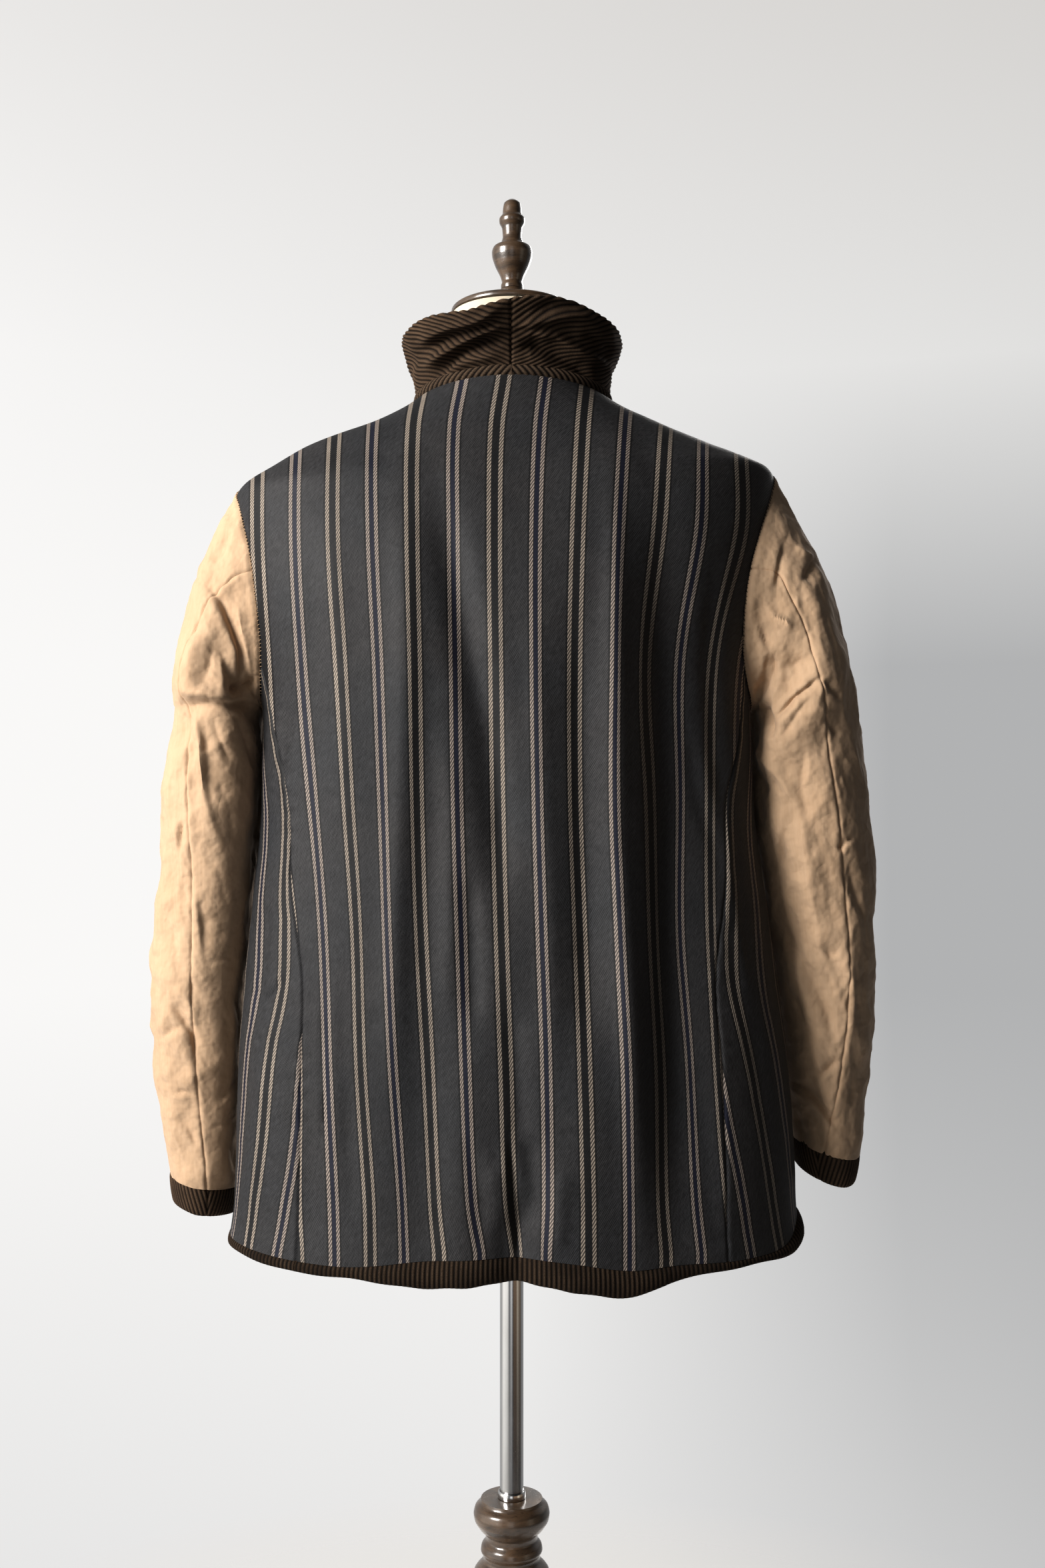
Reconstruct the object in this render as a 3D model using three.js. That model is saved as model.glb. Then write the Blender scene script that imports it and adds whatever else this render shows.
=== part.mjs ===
// Hunting jacket turned inside out, on a limbless dress form with a turned wood stand.
// Millimetres, +Z up. The jacket's back faces -Y, its left side is -X, and the stand's pole
// is the Z axis, with the four feet on the plane z = 0.
import * as THREE from 'three';

// ---------------------------------------------------------------- driving dimensions

const CLOTH = 3;               // wall of the body: lining over corduroy
const SLEEVE_CLOTH = 2.6;      // wall of a sleeve
const CORDUROY = 3.4;          // doubled corduroy of collar, band, cuffs and hem
const SEAM = 0.4;              // gap between two pieces along a seam
const ARMHOLE_SEAM = 0.75;     // the same round an armhole, where curved edges meet
const SLEEVE_SEAM = 0.8;       // the same down a sleeve, where the seam runs aslant
const FORM_GAP = 0.9;          // air between the shoulders' cloth and the dress form

const HEM = 552;               // nominal height of the lining's lower edge
const UNDERARM = 1002;         // lowest point of each armhole
const SHOULDER_TIP = 1190;     // nominal height of the shoulder tips
const NECK = 1268;             // nominal height of the neck seam at the sides
const ARMHOLE_DEPTH = 53;      // half the front-to-back width of an armhole
const ARMHOLE_MIDDLE = (UNDERARM + SHOULDER_TIP) / 2;
const ARMHOLE_HALF = (SHOULDER_TIP - UNDERARM) / 2;
const ARMHOLE_STEP = 16;       // degrees between places round an armhole, counted from its top
const UNDERARM_STEP = 13;      // the same along its lowest part
const SEAM_TURN = 128;         // where the side-back seams run into the armholes
const SEAM_TOP = ARMHOLE_MIDDLE + ARMHOLE_HALF * Math.cos((SEAM_TURN * Math.PI) / 180);
const OVERLAP = 20;            // how far each front passes the centre line
const OVERLAP_LIFT = CLOTH + 0.7;

const HEM_GAP = 0.65;          // between the lining's edge and the corduroy below it
const BAND_HEIGHT = 6;         // neck band between the back and the collar
const FORM_BOTTOM = 606;
const FORM_NECK_TOP = 1348;
const POLE_RADIUS = 10;
const POST_TOP = 330;
const LEG_COUNT = 4;
const LEG_WIDTH = 28;
const LEG_BLOCK_RADIUS = 34;

const ROUND = 40;              // facets round the body, the form and the collar
const TURNED = 20;             // facets round the turned wood

// Level rings of the body. left, right, back and front are the distances from the pole's axis;
// the d columns raise that side of the ring above the nominal height; square rounds its corners.
const BODY_RINGS = [
  { height: 520, left: 244, right: 250, back: 119, front: 121, dRight: 0, dBack: 0, dFront: 0, square: 2.4 },
  { height: 548, left: 241, right: 246, back: 118, front: 120, dRight: 0, dBack: 0, dFront: 0, square: 2.4 },
  { height: 575, left: 237, right: 242, back: 117, front: 119, dRight: 0, dBack: 0, dFront: 0, square: 2.4 },
  { height: 615, left: 235, right: 241, back: 116, front: 118, dRight: 0, dBack: 0, dFront: 0, square: 2.4 },
  { height: 658, left: 234, right: 239, back: 114, front: 117, dRight: 0, dBack: 0, dFront: 0, square: 2.4 },
  { height: 715, left: 232, right: 234, back: 112, front: 116, dRight: 0, dBack: 0, dFront: 0, square: 2.4 },
  { height: 761, left: 229, right: 228, back: 109, front: 115, dRight: 0, dBack: 0, dFront: 0, square: 2.4 },
  { height: 830, left: 223, right: 219, back: 105, front: 115, dRight: 0, dBack: 0, dFront: 0, square: 2.4 },
  { height: 905, left: 216, right: 210, back: 104, front: 116, dRight: 0, dBack: 0, dFront: 0, square: 2.4 },
  { height: 963, left: 215, right: 208, back: 107, front: 118, dRight: 0, dBack: 0, dFront: 0, square: 2.4 },
  { height: 1004, left: 216, right: 206, back: 110, front: 119, dRight: 0, dBack: 0, dFront: 0, square: 2.4 },
  { height: 1040, left: 222, right: 206, back: 112, front: 119, dRight: 0, dBack: 0, dFront: 0, square: 2.4 },
  { height: 1094, left: 233, right: 214, back: 112, front: 116, dRight: 1, dBack: 0, dFront: -2, square: 2.4 },
  { height: 1140, left: 238, right: 223, back: 107, front: 110, dRight: 4, dBack: 0, dFront: -6, square: 2.4 },
  { height: 1172, left: 239, right: 228, back: 101, front: 102, dRight: 9, dBack: 0, dFront: -10, square: 2.4 },
  { height: 1190, left: 236, right: 227, back: 97, front: 96, dRight: 13, dBack: 0, dFront: -14, square: 2.4 },
  { height: 1209, left: 209, right: 213, back: 91, front: 88, dRight: 4, dBack: 0, dFront: -22, square: 2.35 },
  { height: 1227, left: 177, right: 177, back: 85, front: 82, dRight: 0, dBack: 1, dFront: -30, square: 2.3 },
  { height: 1244, left: 130, right: 136, back: 79, front: 78, dRight: 0, dBack: 3, dFront: -38, square: 2.25 },
  { height: 1257, left: 102, right: 106, back: 74, front: 76, dRight: 0, dBack: 6, dFront: -43, square: 2.2 },
  { height: 1268, left: 84, right: 86, back: 70, front: 76, dRight: 0, dBack: 8, dFront: -46, square: 2.15 },
];

// Heights of the rows of facets up the body, the lowest ones as shares of the way to the seams' top.
const SKIRT_SHARES = [0, 0.05, 0.13, 0.23, 0.34, 0.45, 0.56, 0.67, 0.78, 0.89, 1];
const SHOULDER_ROWS = [1199, 1209, 1227, 1244, 1257, 1268];

// Angle of the side-back seams, from the centre of the back.
const SIDE_SEAM = [
  { height: 520, angle: 61.5 },
  { height: 700, angle: 63.4 },
  { height: 774, angle: 64.3 },
  { height: 846, angle: 68.6 },
  { height: 921, angle: 71 },
  { height: 983, angle: 75.8 },
  { height: 1037, angle: 79.1 },
];

// Soft folds of the body, as ridges (+) and troughs (-) along a line up the cloth.
const BODY_FOLDS = [
  { name: 'right blade', x: 139, low: 560, high: 1180, lean: 10, width: 26, depth: -7 },
  { name: 'right blade ridge', x: 104, low: 560, high: 1120, lean: 4, width: 20, depth: 3 },
  { name: 'left middle', x: -66, low: 540, high: 1100, lean: -6, width: 26, depth: -4 },
  { name: 'hem dent', x: 3, low: 500, high: 640, lean: 0, width: 15, depth: -7 },
  { name: 'hem ridge right', x: 60, low: 500, high: 800, lean: 4, width: 26, depth: 4 },
  { name: 'hem ridge left', x: -40, low: 500, high: 760, lean: -4, width: 20, depth: 3 },
  { name: 'left seam pull', x: -165, low: 560, high: 800, lean: -8, width: 16, depth: -3 },
];

// Heights of the lining's edge and of the corduroy below it, by angle from the centre back.
const HEM_LINE = [
  { angle: -180, lining: 556, corduroy: 544 },
  { angle: -120, lining: 556, corduroy: 545 },
  { angle: -82, lining: 557, corduroy: 550 },
  { angle: -62, lining: 551, corduroy: 542 },
  { angle: -50, lining: 550, corduroy: 541 },
  { angle: -32, lining: 556, corduroy: 535 },
  { angle: -16, lining: 558, corduroy: 537 },
  { angle: 2, lining: 559, corduroy: 540 },
  { angle: 24, lining: 555, corduroy: 533 },
  { angle: 40, lining: 549, corduroy: 528 },
  { angle: 52, lining: 551, corduroy: 540 },
  { angle: 66, lining: 551, corduroy: 545 },
  { angle: 84, lining: 556, corduroy: 549 },
  { angle: 120, lining: 556, corduroy: 545 },
  { angle: 180, lining: 556, corduroy: 544 },
];

// Rings of each sleeve from the armhole to the lining's end: the outer and inner edge as seen
// from behind, half the depth from front to back, and how far the middle lies forward.
const LEFT_SLEEVE = [
  { outX: 238, outZ: 1190, inX: 214, inZ: 1002, depth: 53, y: 0 },
  { outX: 248, outZ: 1171, inX: 217.5, inZ: 1000, depth: 55, y: 1 },
  { outX: 257, outZ: 1152, inX: 218, inZ: 996, depth: 58, y: 3 },
  { outX: 271, outZ: 1122, inX: 218, inZ: 989, depth: 64, y: 7 },
  { outX: 281, outZ: 1087, inX: 217.5, inZ: 977, depth: 69, y: 11 },
  { outX: 289, outZ: 1048, inX: 217, inZ: 961, depth: 72, y: 15 },
  { outX: 297, outZ: 1000, inX: 217, inZ: 939, depth: 73, y: 19 },
  { outX: 303, outZ: 950, inX: 217.5, inZ: 911, depth: 72, y: 23 },
  { outX: 307, outZ: 894, inX: 220, inZ: 875, depth: 71, y: 27 },
  { outX: 311, outZ: 841, inX: 224, inZ: 833, depth: 69, y: 31 },
  { outX: 318, outZ: 770, inX: 230, inZ: 768, depth: 66, y: 37 },
  { outX: 316, outZ: 717, inX: 234, inZ: 712, depth: 63, y: 41 },
  { outX: 311, outZ: 663, inX: 236.5, inZ: 658, depth: 60, y: 45 },
  { outX: 304, outZ: 615, inX: 238, inZ: 609, depth: 57, y: 48 },
  { outX: 301, outZ: 584, inX: 240, inZ: 577, depth: 55, y: 50 },
  { outX: 298, outZ: 560, inX: 243, inZ: 553, depth: 53, y: 51 },
];
const RIGHT_SLEEVE = [
  { outX: 228, outZ: 1203, inX: 207, inZ: 1002, depth: 53, y: 0 },
  { outX: 238, outZ: 1182, inX: 210, inZ: 1000, depth: 55, y: 1 },
  { outX: 250, outZ: 1160, inX: 210, inZ: 996, depth: 58, y: 3 },
  { outX: 271, outZ: 1124, inX: 210, inZ: 989, depth: 64, y: 7 },
  { outX: 283, outZ: 1088, inX: 210, inZ: 977, depth: 69, y: 11 },
  { outX: 293, outZ: 1050, inX: 210, inZ: 961, depth: 72, y: 15 },
  { outX: 302, outZ: 1008, inX: 210.5, inZ: 939, depth: 73, y: 19 },
  { outX: 308, outZ: 955, inX: 211, inZ: 911, depth: 72, y: 23 },
  { outX: 315, outZ: 894, inX: 214.5, inZ: 875, depth: 71, y: 27 },
  { outX: 318, outZ: 835, inX: 220, inZ: 833, depth: 69, y: 31 },
  { outX: 318, outZ: 779, inX: 227.5, inZ: 778, depth: 66, y: 36 },
  { outX: 317, outZ: 731, inX: 234, inZ: 734, depth: 63, y: 40 },
  { outX: 314, outZ: 687, inX: 239, inZ: 694, depth: 60, y: 44 },
  { outX: 309, outZ: 646, inX: 243, inZ: 658, depth: 57, y: 47 },
  { outX: 306, outZ: 617, inX: 246, inZ: 632, depth: 55, y: 49 },
  { outX: 302, outZ: 593, inX: 249.5, inZ: 606, depth: 53, y: 50 },
];
const SLEEVE_ROWS = [0, 0.5, 1.2, 2, 3, 3.8, 4.6, 5.4, 6.2, 7.2, 8.2, 9.2, 10.4, 11.6, 12.8, 14];
const CUFF_START = 14;
const CUFF_END = 15;

// Seams down a sleeve, as angles round it: 0 is the outer edge, 90 the back, 180 the underarm.
const LEFT_ELBOW_SEAM = [
  { ring: 0, angle: 4 * ARMHOLE_STEP },
  { ring: 4, angle: 52 },
  { ring: 7, angle: 76 },
  { ring: 10, angle: 98 },
  { ring: 15, angle: 122 },
];
const RIGHT_ELBOW_SEAM = [
  { ring: 0, angle: 5 * ARMHOLE_STEP },
  { ring: 4, angle: 82 },
  { ring: 8, angle: 77 },
  { ring: 10, angle: 75 },
  { ring: 12, angle: 86 },
  { ring: 15, angle: 116 },
];
const FRONT_SLEEVE_SEAM = 360 - 6 * ARMHOLE_STEP;

// Creases of the sleeves, each a short ridge (+) or trough (-) at an angle and a ring.
const LEFT_CREASES = [
  { name: 'step below the armhole', angle: 60, ring: 6.1, across: 70, along: 0.5, depth: -5 },
  { name: 'puff above the step', angle: 60, ring: 5.0, across: 70, along: 0.6, depth: 4 },
  { name: 'underarm fold', angle: 120, ring: 3.2, across: 34, along: 0.8, depth: -6 },
  { name: 'underarm roll', angle: 118, ring: 4.6, across: 34, along: 0.7, depth: 4 },
  { name: 'elbow hollow', angle: 70, ring: 8.6, across: 40, along: 0.9, depth: -3 },
];
const RIGHT_CREASES = [
  { name: 'underarm fold', angle: 112, ring: 3.4, across: 40, along: 0.9, depth: -6 },
  { name: 'underarm roll', angle: 104, ring: 5.0, across: 40, along: 0.8, depth: 5 },
  { name: 'second fold', angle: 80, ring: 6.2, across: 46, along: 0.5, depth: -5 },
  { name: 'elbow hollow', angle: 100, ring: 8.8, across: 40, along: 0.9, depth: -3 },
];

// The collar from its base to its free edge, as level rings like the body's.
const COLLAR_RINGS = [
  { rise: 0, left: 84, right: 86, back: 70, front: 76, zBack: 1283, zSide: 1275, zFront: 1229 },
  { rise: 0.25, left: 86, right: 86.5, back: 73, front: 78, zBack: 1294, zSide: 1287, zFront: 1239 },
  { rise: 0.5, left: 88.5, right: 88, back: 80, front: 80, zBack: 1306, zSide: 1299, zFront: 1250 },
  { rise: 0.75, left: 92, right: 92, back: 90, front: 82, zBack: 1318.5, zSide: 1311, zFront: 1261 },
  { rise: 1, left: 94, right: 94.5, back: 100, front: 84, zBack: 1329.5, zSide: 1321.5, zFront: 1272 },
];
const COLLAR_FOLDS = [
  { name: 'left fold', angle: -42, rise: 0.52, across: 26, along: 0.2, depth: -4.5 },
  { name: 'left ridge', angle: -30, rise: 0.8, across: 24, along: 0.2, depth: 3 },
  { name: 'right fold', angle: 34, rise: 0.5, across: 30, along: 0.2, depth: -5 },
  { name: 'right ridge', angle: 46, rise: 0.72, across: 24, along: 0.18, depth: 3 },
];
const COLLAR_SQUARE = 2.15;
const COLLAR_END = 178;        // angle at which each half of the collar stops at the front

// How far the dress form lies inside the cloth's outer face.
const FORM_INSET = [
  { height: 600, inset: 52 },
  { height: 700, inset: 46 },
  { height: 800, inset: 46 },
  { height: 900, inset: 50 },
  { height: 1000, inset: 42 },
  { height: 1090, inset: 38 },
  { height: 1150, inset: 28 },
  { height: 1184, inset: 12 },
  { height: 1199, inset: CLOTH + FORM_GAP },
  { height: 1209, inset: CLOTH + FORM_GAP },
  { height: 1227, inset: CLOTH + FORM_GAP },
  { height: 1244, inset: CLOTH + FORM_GAP },
  { height: 1257, inset: 10 },
  { height: 1268, inset: 19 },
];
const FORM_ROWS = [
  FORM_BOTTOM, 660, 740, 830, 920, 1010, 1090, 1150, 1184, 1199, 1209, 1227, 1244, 1257, 1268,
];
const FORM_NECK = [
  { z: 1296, side: 61, depth: 58 },
  { z: 1330, side: 56, depth: 54 },
  { z: FORM_NECK_TOP, side: 53, depth: 52 },
];

// Turned profiles, radius by height from the bottom up.
const POST_PROFILE = [
  { r: 18, z: 70 }, { r: 26, z: 76 }, { r: LEG_BLOCK_RADIUS, z: 88 }, { r: LEG_BLOCK_RADIUS, z: 152 },
  { r: 29, z: 156 }, { r: 34, z: 161 }, { r: 34, z: 166 }, { r: 27, z: 172 }, { r: 29, z: 182 },
  { r: 36, z: 200 }, { r: 39, z: 220 }, { r: 37.5, z: 245 }, { r: 32, z: 271 }, { r: 24, z: 279 },
  { r: 24, z: 283 }, { r: 26.3, z: 287 }, { r: 25.4, z: 292 }, { r: 21.7, z: 296 }, { r: 22.4, z: 301 },
  { r: 27, z: 305.5 }, { r: 31.4, z: 312 }, { r: 32.4, z: 318 }, { r: 31, z: 323.5 },
  { r: 26.8, z: 327.5 }, { r: 26, z: POST_TOP },
];
const CAP_PROFILE = [
  { r: 51.5, z: 1348.5 }, { r: 53.5, z: 1350 }, { r: 53.5, z: 1354 }, { r: 49, z: 1358.5 },
  { r: 36, z: 1364.5 }, { r: 20, z: 1369.5 }, { r: 12, z: 1372 },
];
const FINIAL_PROFILE = [
  { r: 9.8, z: 1372.5 }, { r: 9.8, z: 1376 }, { r: 8.8, z: 1379 }, { r: 10.4, z: 1384.5 },
  { r: 14.8, z: 1393 }, { r: 17.5, z: 1401 }, { r: 17.9, z: 1406 }, { r: 16.6, z: 1410 },
  { r: 10, z: 1413 }, { r: 8.1, z: 1419 }, { r: 8.8, z: 1428 }, { r: 11.2, z: 1432 },
  { r: 11.4, z: 1436 }, { r: 8.4, z: 1439.5 }, { r: 8.1, z: 1445 }, { r: 7.2, z: 1450 },
  { r: 4, z: 1452.4 },
];

// ---------------------------------------------------------------- materials

const LINING = new THREE.MeshStandardMaterial({ color: 0x34353a, roughness: 0.9 });
const SLEEVE_LINING = new THREE.MeshStandardMaterial({ color: 0xb99e7c, roughness: 0.85 });
const CORD = new THREE.MeshStandardMaterial({ color: 0x33251b, roughness: 0.95 });
const FORM_CLOTH = new THREE.MeshStandardMaterial({ color: 0xd9cdb8, roughness: 0.9 });
const WOOD = new THREE.MeshStandardMaterial({ color: 0x3b2318, roughness: 0.35 });
const CHROME = new THREE.MeshStandardMaterial({ color: 0xb8b8b8, roughness: 0.15, metalness: 1 });

// ---------------------------------------------------------------- tables and small sums

const radians = THREE.MathUtils.degToRad;
const degrees = THREE.MathUtils.radToDeg;
const clamp = THREE.MathUtils.clamp;
const mix = THREE.MathUtils.lerp;

// Smooth curve through one column of a table.
function look(table, key, at, column) {
  const last = table.length - 1;
  let i = 0;
  while (i < last - 1 && at > table[i + 1][key]) {
    i += 1;
  }
  const slope = (j) => {
    const a = table[Math.max(j - 1, 0)];
    const b = table[Math.min(j + 1, last)];
    return (b[column] - a[column]) / (b[key] - a[key]);
  };
  const low = table[i];
  const high = table[i + 1];
  const span = high[key] - low[key];
  const t = clamp((at - low[key]) / span, 0, 1);
  const t2 = t * t;
  const t3 = t2 * t;
  return (2 * t3 - 3 * t2 + 1) * low[column] + (t3 - 2 * t2 + t) * span * slope(i)
    + (3 * t2 - 2 * t3) * high[column] + (t3 - t2) * span * slope(i + 1);
}

function bump(distance, width) {
  return Math.exp(-((distance / width) ** 2));
}

function smoothStep(from, to, at) {
  const t = clamp((at - from) / (to - from), 0, 1);
  return t * t * (3 - 2 * t);
}

// ---------------------------------------------------------------- the body's surface

// Point of a level ring at an angle from the centre back, negative to the left.
function ringPoint(ring, angle, heights) {
  const a = radians(angle);
  const s = Math.sin(a);
  const c = Math.cos(a);
  const side = s < 0 ? ring.left : ring.right;
  const depth = c > 0 ? ring.back : ring.front;
  const n = ring.square;
  const r = (Math.abs(s / side) ** n + Math.abs(c / depth) ** n) ** (-1 / n);
  const zSide = s < 0 ? heights.left : heights.right;
  const zDepth = c > 0 ? heights.back : heights.front;
  return new THREE.Vector3(r * s, -r * c, zSide * s * s + zDepth * c * c);
}

function bodyRing(height) {
  const ring = {};
  for (const key of ['left', 'right', 'back', 'front', 'dRight', 'dBack', 'dFront', 'square']) {
    ring[key] = look(BODY_RINGS, 'height', height, key);
  }
  return ring;
}

function bodyPoint(angle, height) {
  const ring = bodyRing(height);
  return ringPoint(ring, angle, {
    left: height,
    right: height + ring.dRight,
    back: height + ring.dBack,
    front: height + ring.dFront,
  });
}

// Outward normal of a surface function by small steps along both of its parameters.
function normalOf(surface, u, v, du, dv) {
  const across = surface(u + du, v).sub(surface(u - du, v));
  const up = surface(u, v + dv).sub(surface(u, v - dv));
  return across.cross(up).normalize();
}

function bodyNormal(angle, height) {
  return normalOf(bodyPoint, angle, clamp(height, 521, NECK - 0.6), 0.4, 0.5);
}

function bodyFold(point) {
  if (point.y > 0) {
    return 0;
  }
  let depth = 0;
  for (const fold of BODY_FOLDS) {
    const along = (point.z - fold.low) / (fold.high - fold.low);
    const middle = fold.x + fold.lean * (along - 0.5);
    const ends = smoothStep(-0.12, 0.2, along) * (1 - smoothStep(0.55, 1, along));
    depth += fold.depth * ends * bump(point.x - middle, fold.width);
  }
  return depth;
}

// One place in the body's wall: its outer point, and its inner point a wall's thickness in.
function bodyWall(angle, height, lift = 0) {
  const base = bodyPoint(angle, height);
  const normal = bodyNormal(angle, height);
  const outer = base.clone().addScaledVector(normal, bodyFold(base) + lift);
  return { outer, inner: outer.clone().addScaledVector(normal, -CLOTH) };
}

function armholeHeight(turn) {
  return ARMHOLE_MIDDLE + ARMHOLE_HALF * Math.cos(radians(turn));
}

// Heights of the armhole's places above the side-back seam, from the lowest to the tip.
function armholeHeights() {
  const heights = [];
  for (let turn = SEAM_TURN - ARMHOLE_STEP; turn >= 0; turn -= ARMHOLE_STEP) {
    heights.push(armholeHeight(turn));
  }
  return heights;
}

// Angle at which an armhole's back (-1) or front (+1) edge crosses a nominal height.
function armholeAngle(height, side, face) {
  const reach = clamp((height - ARMHOLE_MIDDLE) / ARMHOLE_HALF, -1, 1);
  const y = face * ARMHOLE_DEPTH * Math.sqrt(1 - reach * reach);
  return angleAtDepth(height, side, y);
}

function angleAtDepth(height, side, y) {
  const ring = bodyRing(height);
  const half = side < 0 ? ring.left : ring.right;
  const depth = y < 0 ? ring.back : ring.front;
  const x = half * (1 - Math.abs(y / depth) ** ring.square) ** (1 / ring.square);
  return side * degrees(Math.atan2(x, -y));
}

// Angle of the back panel's edge on one side: side seam, armhole, then shoulder seam.
function backEdge(height, side) {
  if (height < SEAM_TOP) {
    return side * look(SIDE_SEAM, 'height', height, 'angle');
  }
  return height < SHOULDER_TIP ? armholeAngle(height, side, -1) : side * 90;
}

// Moves an edge back by half a seam, along the surface.
function seamAngle(height) {
  return degrees(SEAM / 2 / bodyRing(height).left);
}

function hemHeight(angle, column) {
  return look(HEM_LINE, 'angle', angle > 180 ? angle - 360 : angle, column);
}

// Lowers or raises the lowest rows so that the first one follows the lining's edge.
function dropToHem(angle, height) {
  const turn = angle < -180 ? angle + 360 : angle;
  const share = clamp(1 - (height - HEM) / 110, 0, 1);
  return height + (hemHeight(turn, 'lining') - HEM) * share;
}

// ---------------------------------------------------------------- cloth pieces as closed walls

// Joins grids of wall places into one closed wall: outer face, inner face and edges.
function wallMesh(name, material, grids) {
  const outer = [];
  const inner = [];
  const found = new Map();
  const indexOf = (place) => {
    const key = place.outer.toArray().map((value) => Math.round(value * 200)).join(' ');
    if (!found.has(key)) {
      found.set(key, outer.length);
      outer.push(place.outer);
      inner.push(place.inner);
    }
    return found.get(key);
  };
  const triangles = [];
  for (const grid of grids) {
    for (let i = 0; i + 1 < grid.length; i += 1) {
      for (let j = 0; j + 1 < grid[i].length; j += 1) {
        const a = indexOf(grid[i][j]);
        const b = indexOf(grid[i][j + 1]);
        const c = indexOf(grid[i + 1][j + 1]);
        const d = indexOf(grid[i + 1][j]);
        triangles.push([a, b, c], [a, c, d]);
      }
    }
  }
  const faces = triangles.filter(([a, b, c]) => a !== b && b !== c && c !== a);
  const edges = new Set(faces.flatMap(([a, b, c]) => [`${a} ${b}`, `${b} ${c}`, `${c} ${a}`]));
  const count = outer.length;
  const index = [];
  for (const [a, b, c] of faces) {
    index.push(a, b, c, c + count, b + count, a + count);
  }
  for (const edge of edges) {
    const [a, b] = edge.split(' ').map(Number);
    if (!edges.has(`${b} ${a}`)) {
      index.push(b, a, a + count, b, a + count, b + count);
    }
  }
  return solid(name, material, [...outer, ...inner], index);
}

// Mesh from points and triangles, turned so that its faces point out.
function solid(name, material, points, index) {
  let volume = 0;
  for (let i = 0; i < index.length; i += 3) {
    const [a, b, c] = index.slice(i, i + 3).map((k) => points[k]);
    volume += a.dot(b.clone().cross(c));
  }
  const turned = volume < 0 ? index.toReversed() : index;
  const geometry = new THREE.BufferGeometry();
  const numbers = points.flatMap((p) => p.toArray());
  geometry.setAttribute('position', new THREE.Float32BufferAttribute(numbers, 3));
  geometry.setIndex(turned);
  geometry.computeVertexNormals();
  const mesh = new THREE.Mesh(geometry, material);
  mesh.name = name;
  return mesh;
}

// Grid of wall places, one line of shares for each row.
function rows(list, shares, place) {
  return list.map((row) => shares.map((share) => place(row, share)));
}

function evenShares(columns) {
  return Array.from({ length: columns + 1 }, (_, j) => j / columns);
}

const SKIRT_HEIGHTS = SKIRT_SHARES.map((share) => mix(HEM, SEAM_TOP, share));
const PANEL_HEIGHTS = [...SKIRT_HEIGHTS, ...armholeHeights(), ...SHOULDER_ROWS];

function backPanel() {
  const grid = rows(PANEL_HEIGHTS, evenShares(ROUND / 2), (height, share) => {
    const gap = seamAngle(height);
    const angle = mix(backEdge(height, -1) + gap, backEdge(height, 1) - gap, share);
    return bodyWall(angle, dropToHem(angle, height));
  });
  return wallMesh('back', LINING, [grid]);
}

// Centre-front edge of a front, past the middle line by the overlap.
function frontEnd(height, side) {
  return side * (180 + degrees(Math.atan2(OVERLAP, bodyRing(height).front)));
}

// The left front lies over the right one, so it is lifted near the centre.
function frontLift(angle, height, side) {
  if (side > 0) {
    return 0;
  }
  const x = Math.tan(radians(180 - Math.abs(angle))) * bodyRing(height).front;
  return Math.abs(angle) < 120 ? 0 : OVERLAP_LIFT * (1 - smoothStep(OVERLAP + 8, OVERLAP + 44, x));
}

// The side and underarm lie under the armhole, and the chest between armhole and centre line.
function frontPanel(name, side) {
  const meet = Math.abs(armholeAngle(SEAM_TOP, side, 1));
  const wall = (angle, height) => bodyWall(angle, dropToHem(angle, height), frontLift(angle, height, side));
  const turns = [];
  for (let turn = SEAM_TURN; turn <= 360 - SEAM_TURN; turn += UNDERARM_STEP) {
    turns.push(turn);
  }
  const topAngle = (turn) => {
    const y = -ARMHOLE_DEPTH * Math.sin(radians(turn));
    return Math.abs(angleAtDepth(armholeHeight(turn), side, y));
  };
  const first = topAngle(SEAM_TURN);
  const underside = rows(SKIRT_SHARES, turns, (climb, turn) => {
    const start = Math.abs(backEdge(mix(HEM, SEAM_TOP, climb), side));
    const gap = seamAngle(SEAM_TOP) * (turn === SEAM_TURN ? 1 : 0);
    const share = (topAngle(turn) - first) / (meet - first);
    return wall(side * (mix(start, meet, share) + gap), mix(HEM, armholeHeight(turn), climb));
  });
  const chestShares = [...evenShares(ROUND / 4), 1.5, 2];
  const chest = rows(PANEL_HEIGHTS, chestShares, (height, share) => {
    if (share > 1) {
      return wall(mix(side * 180, frontEnd(height, side), share - 1), height);
    }
    let start = meet;
    if (height > SEAM_TOP) {
      start = height < SHOULDER_TIP ? Math.abs(armholeAngle(height, side, 1)) : 90 + seamAngle(height);
    }
    return wall(side * mix(start, 180, share), height);
  });
  return wallMesh(name, LINING, [underside, chest]);
}

// ---------------------------------------------------------------- hem of the corduroy shell

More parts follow.
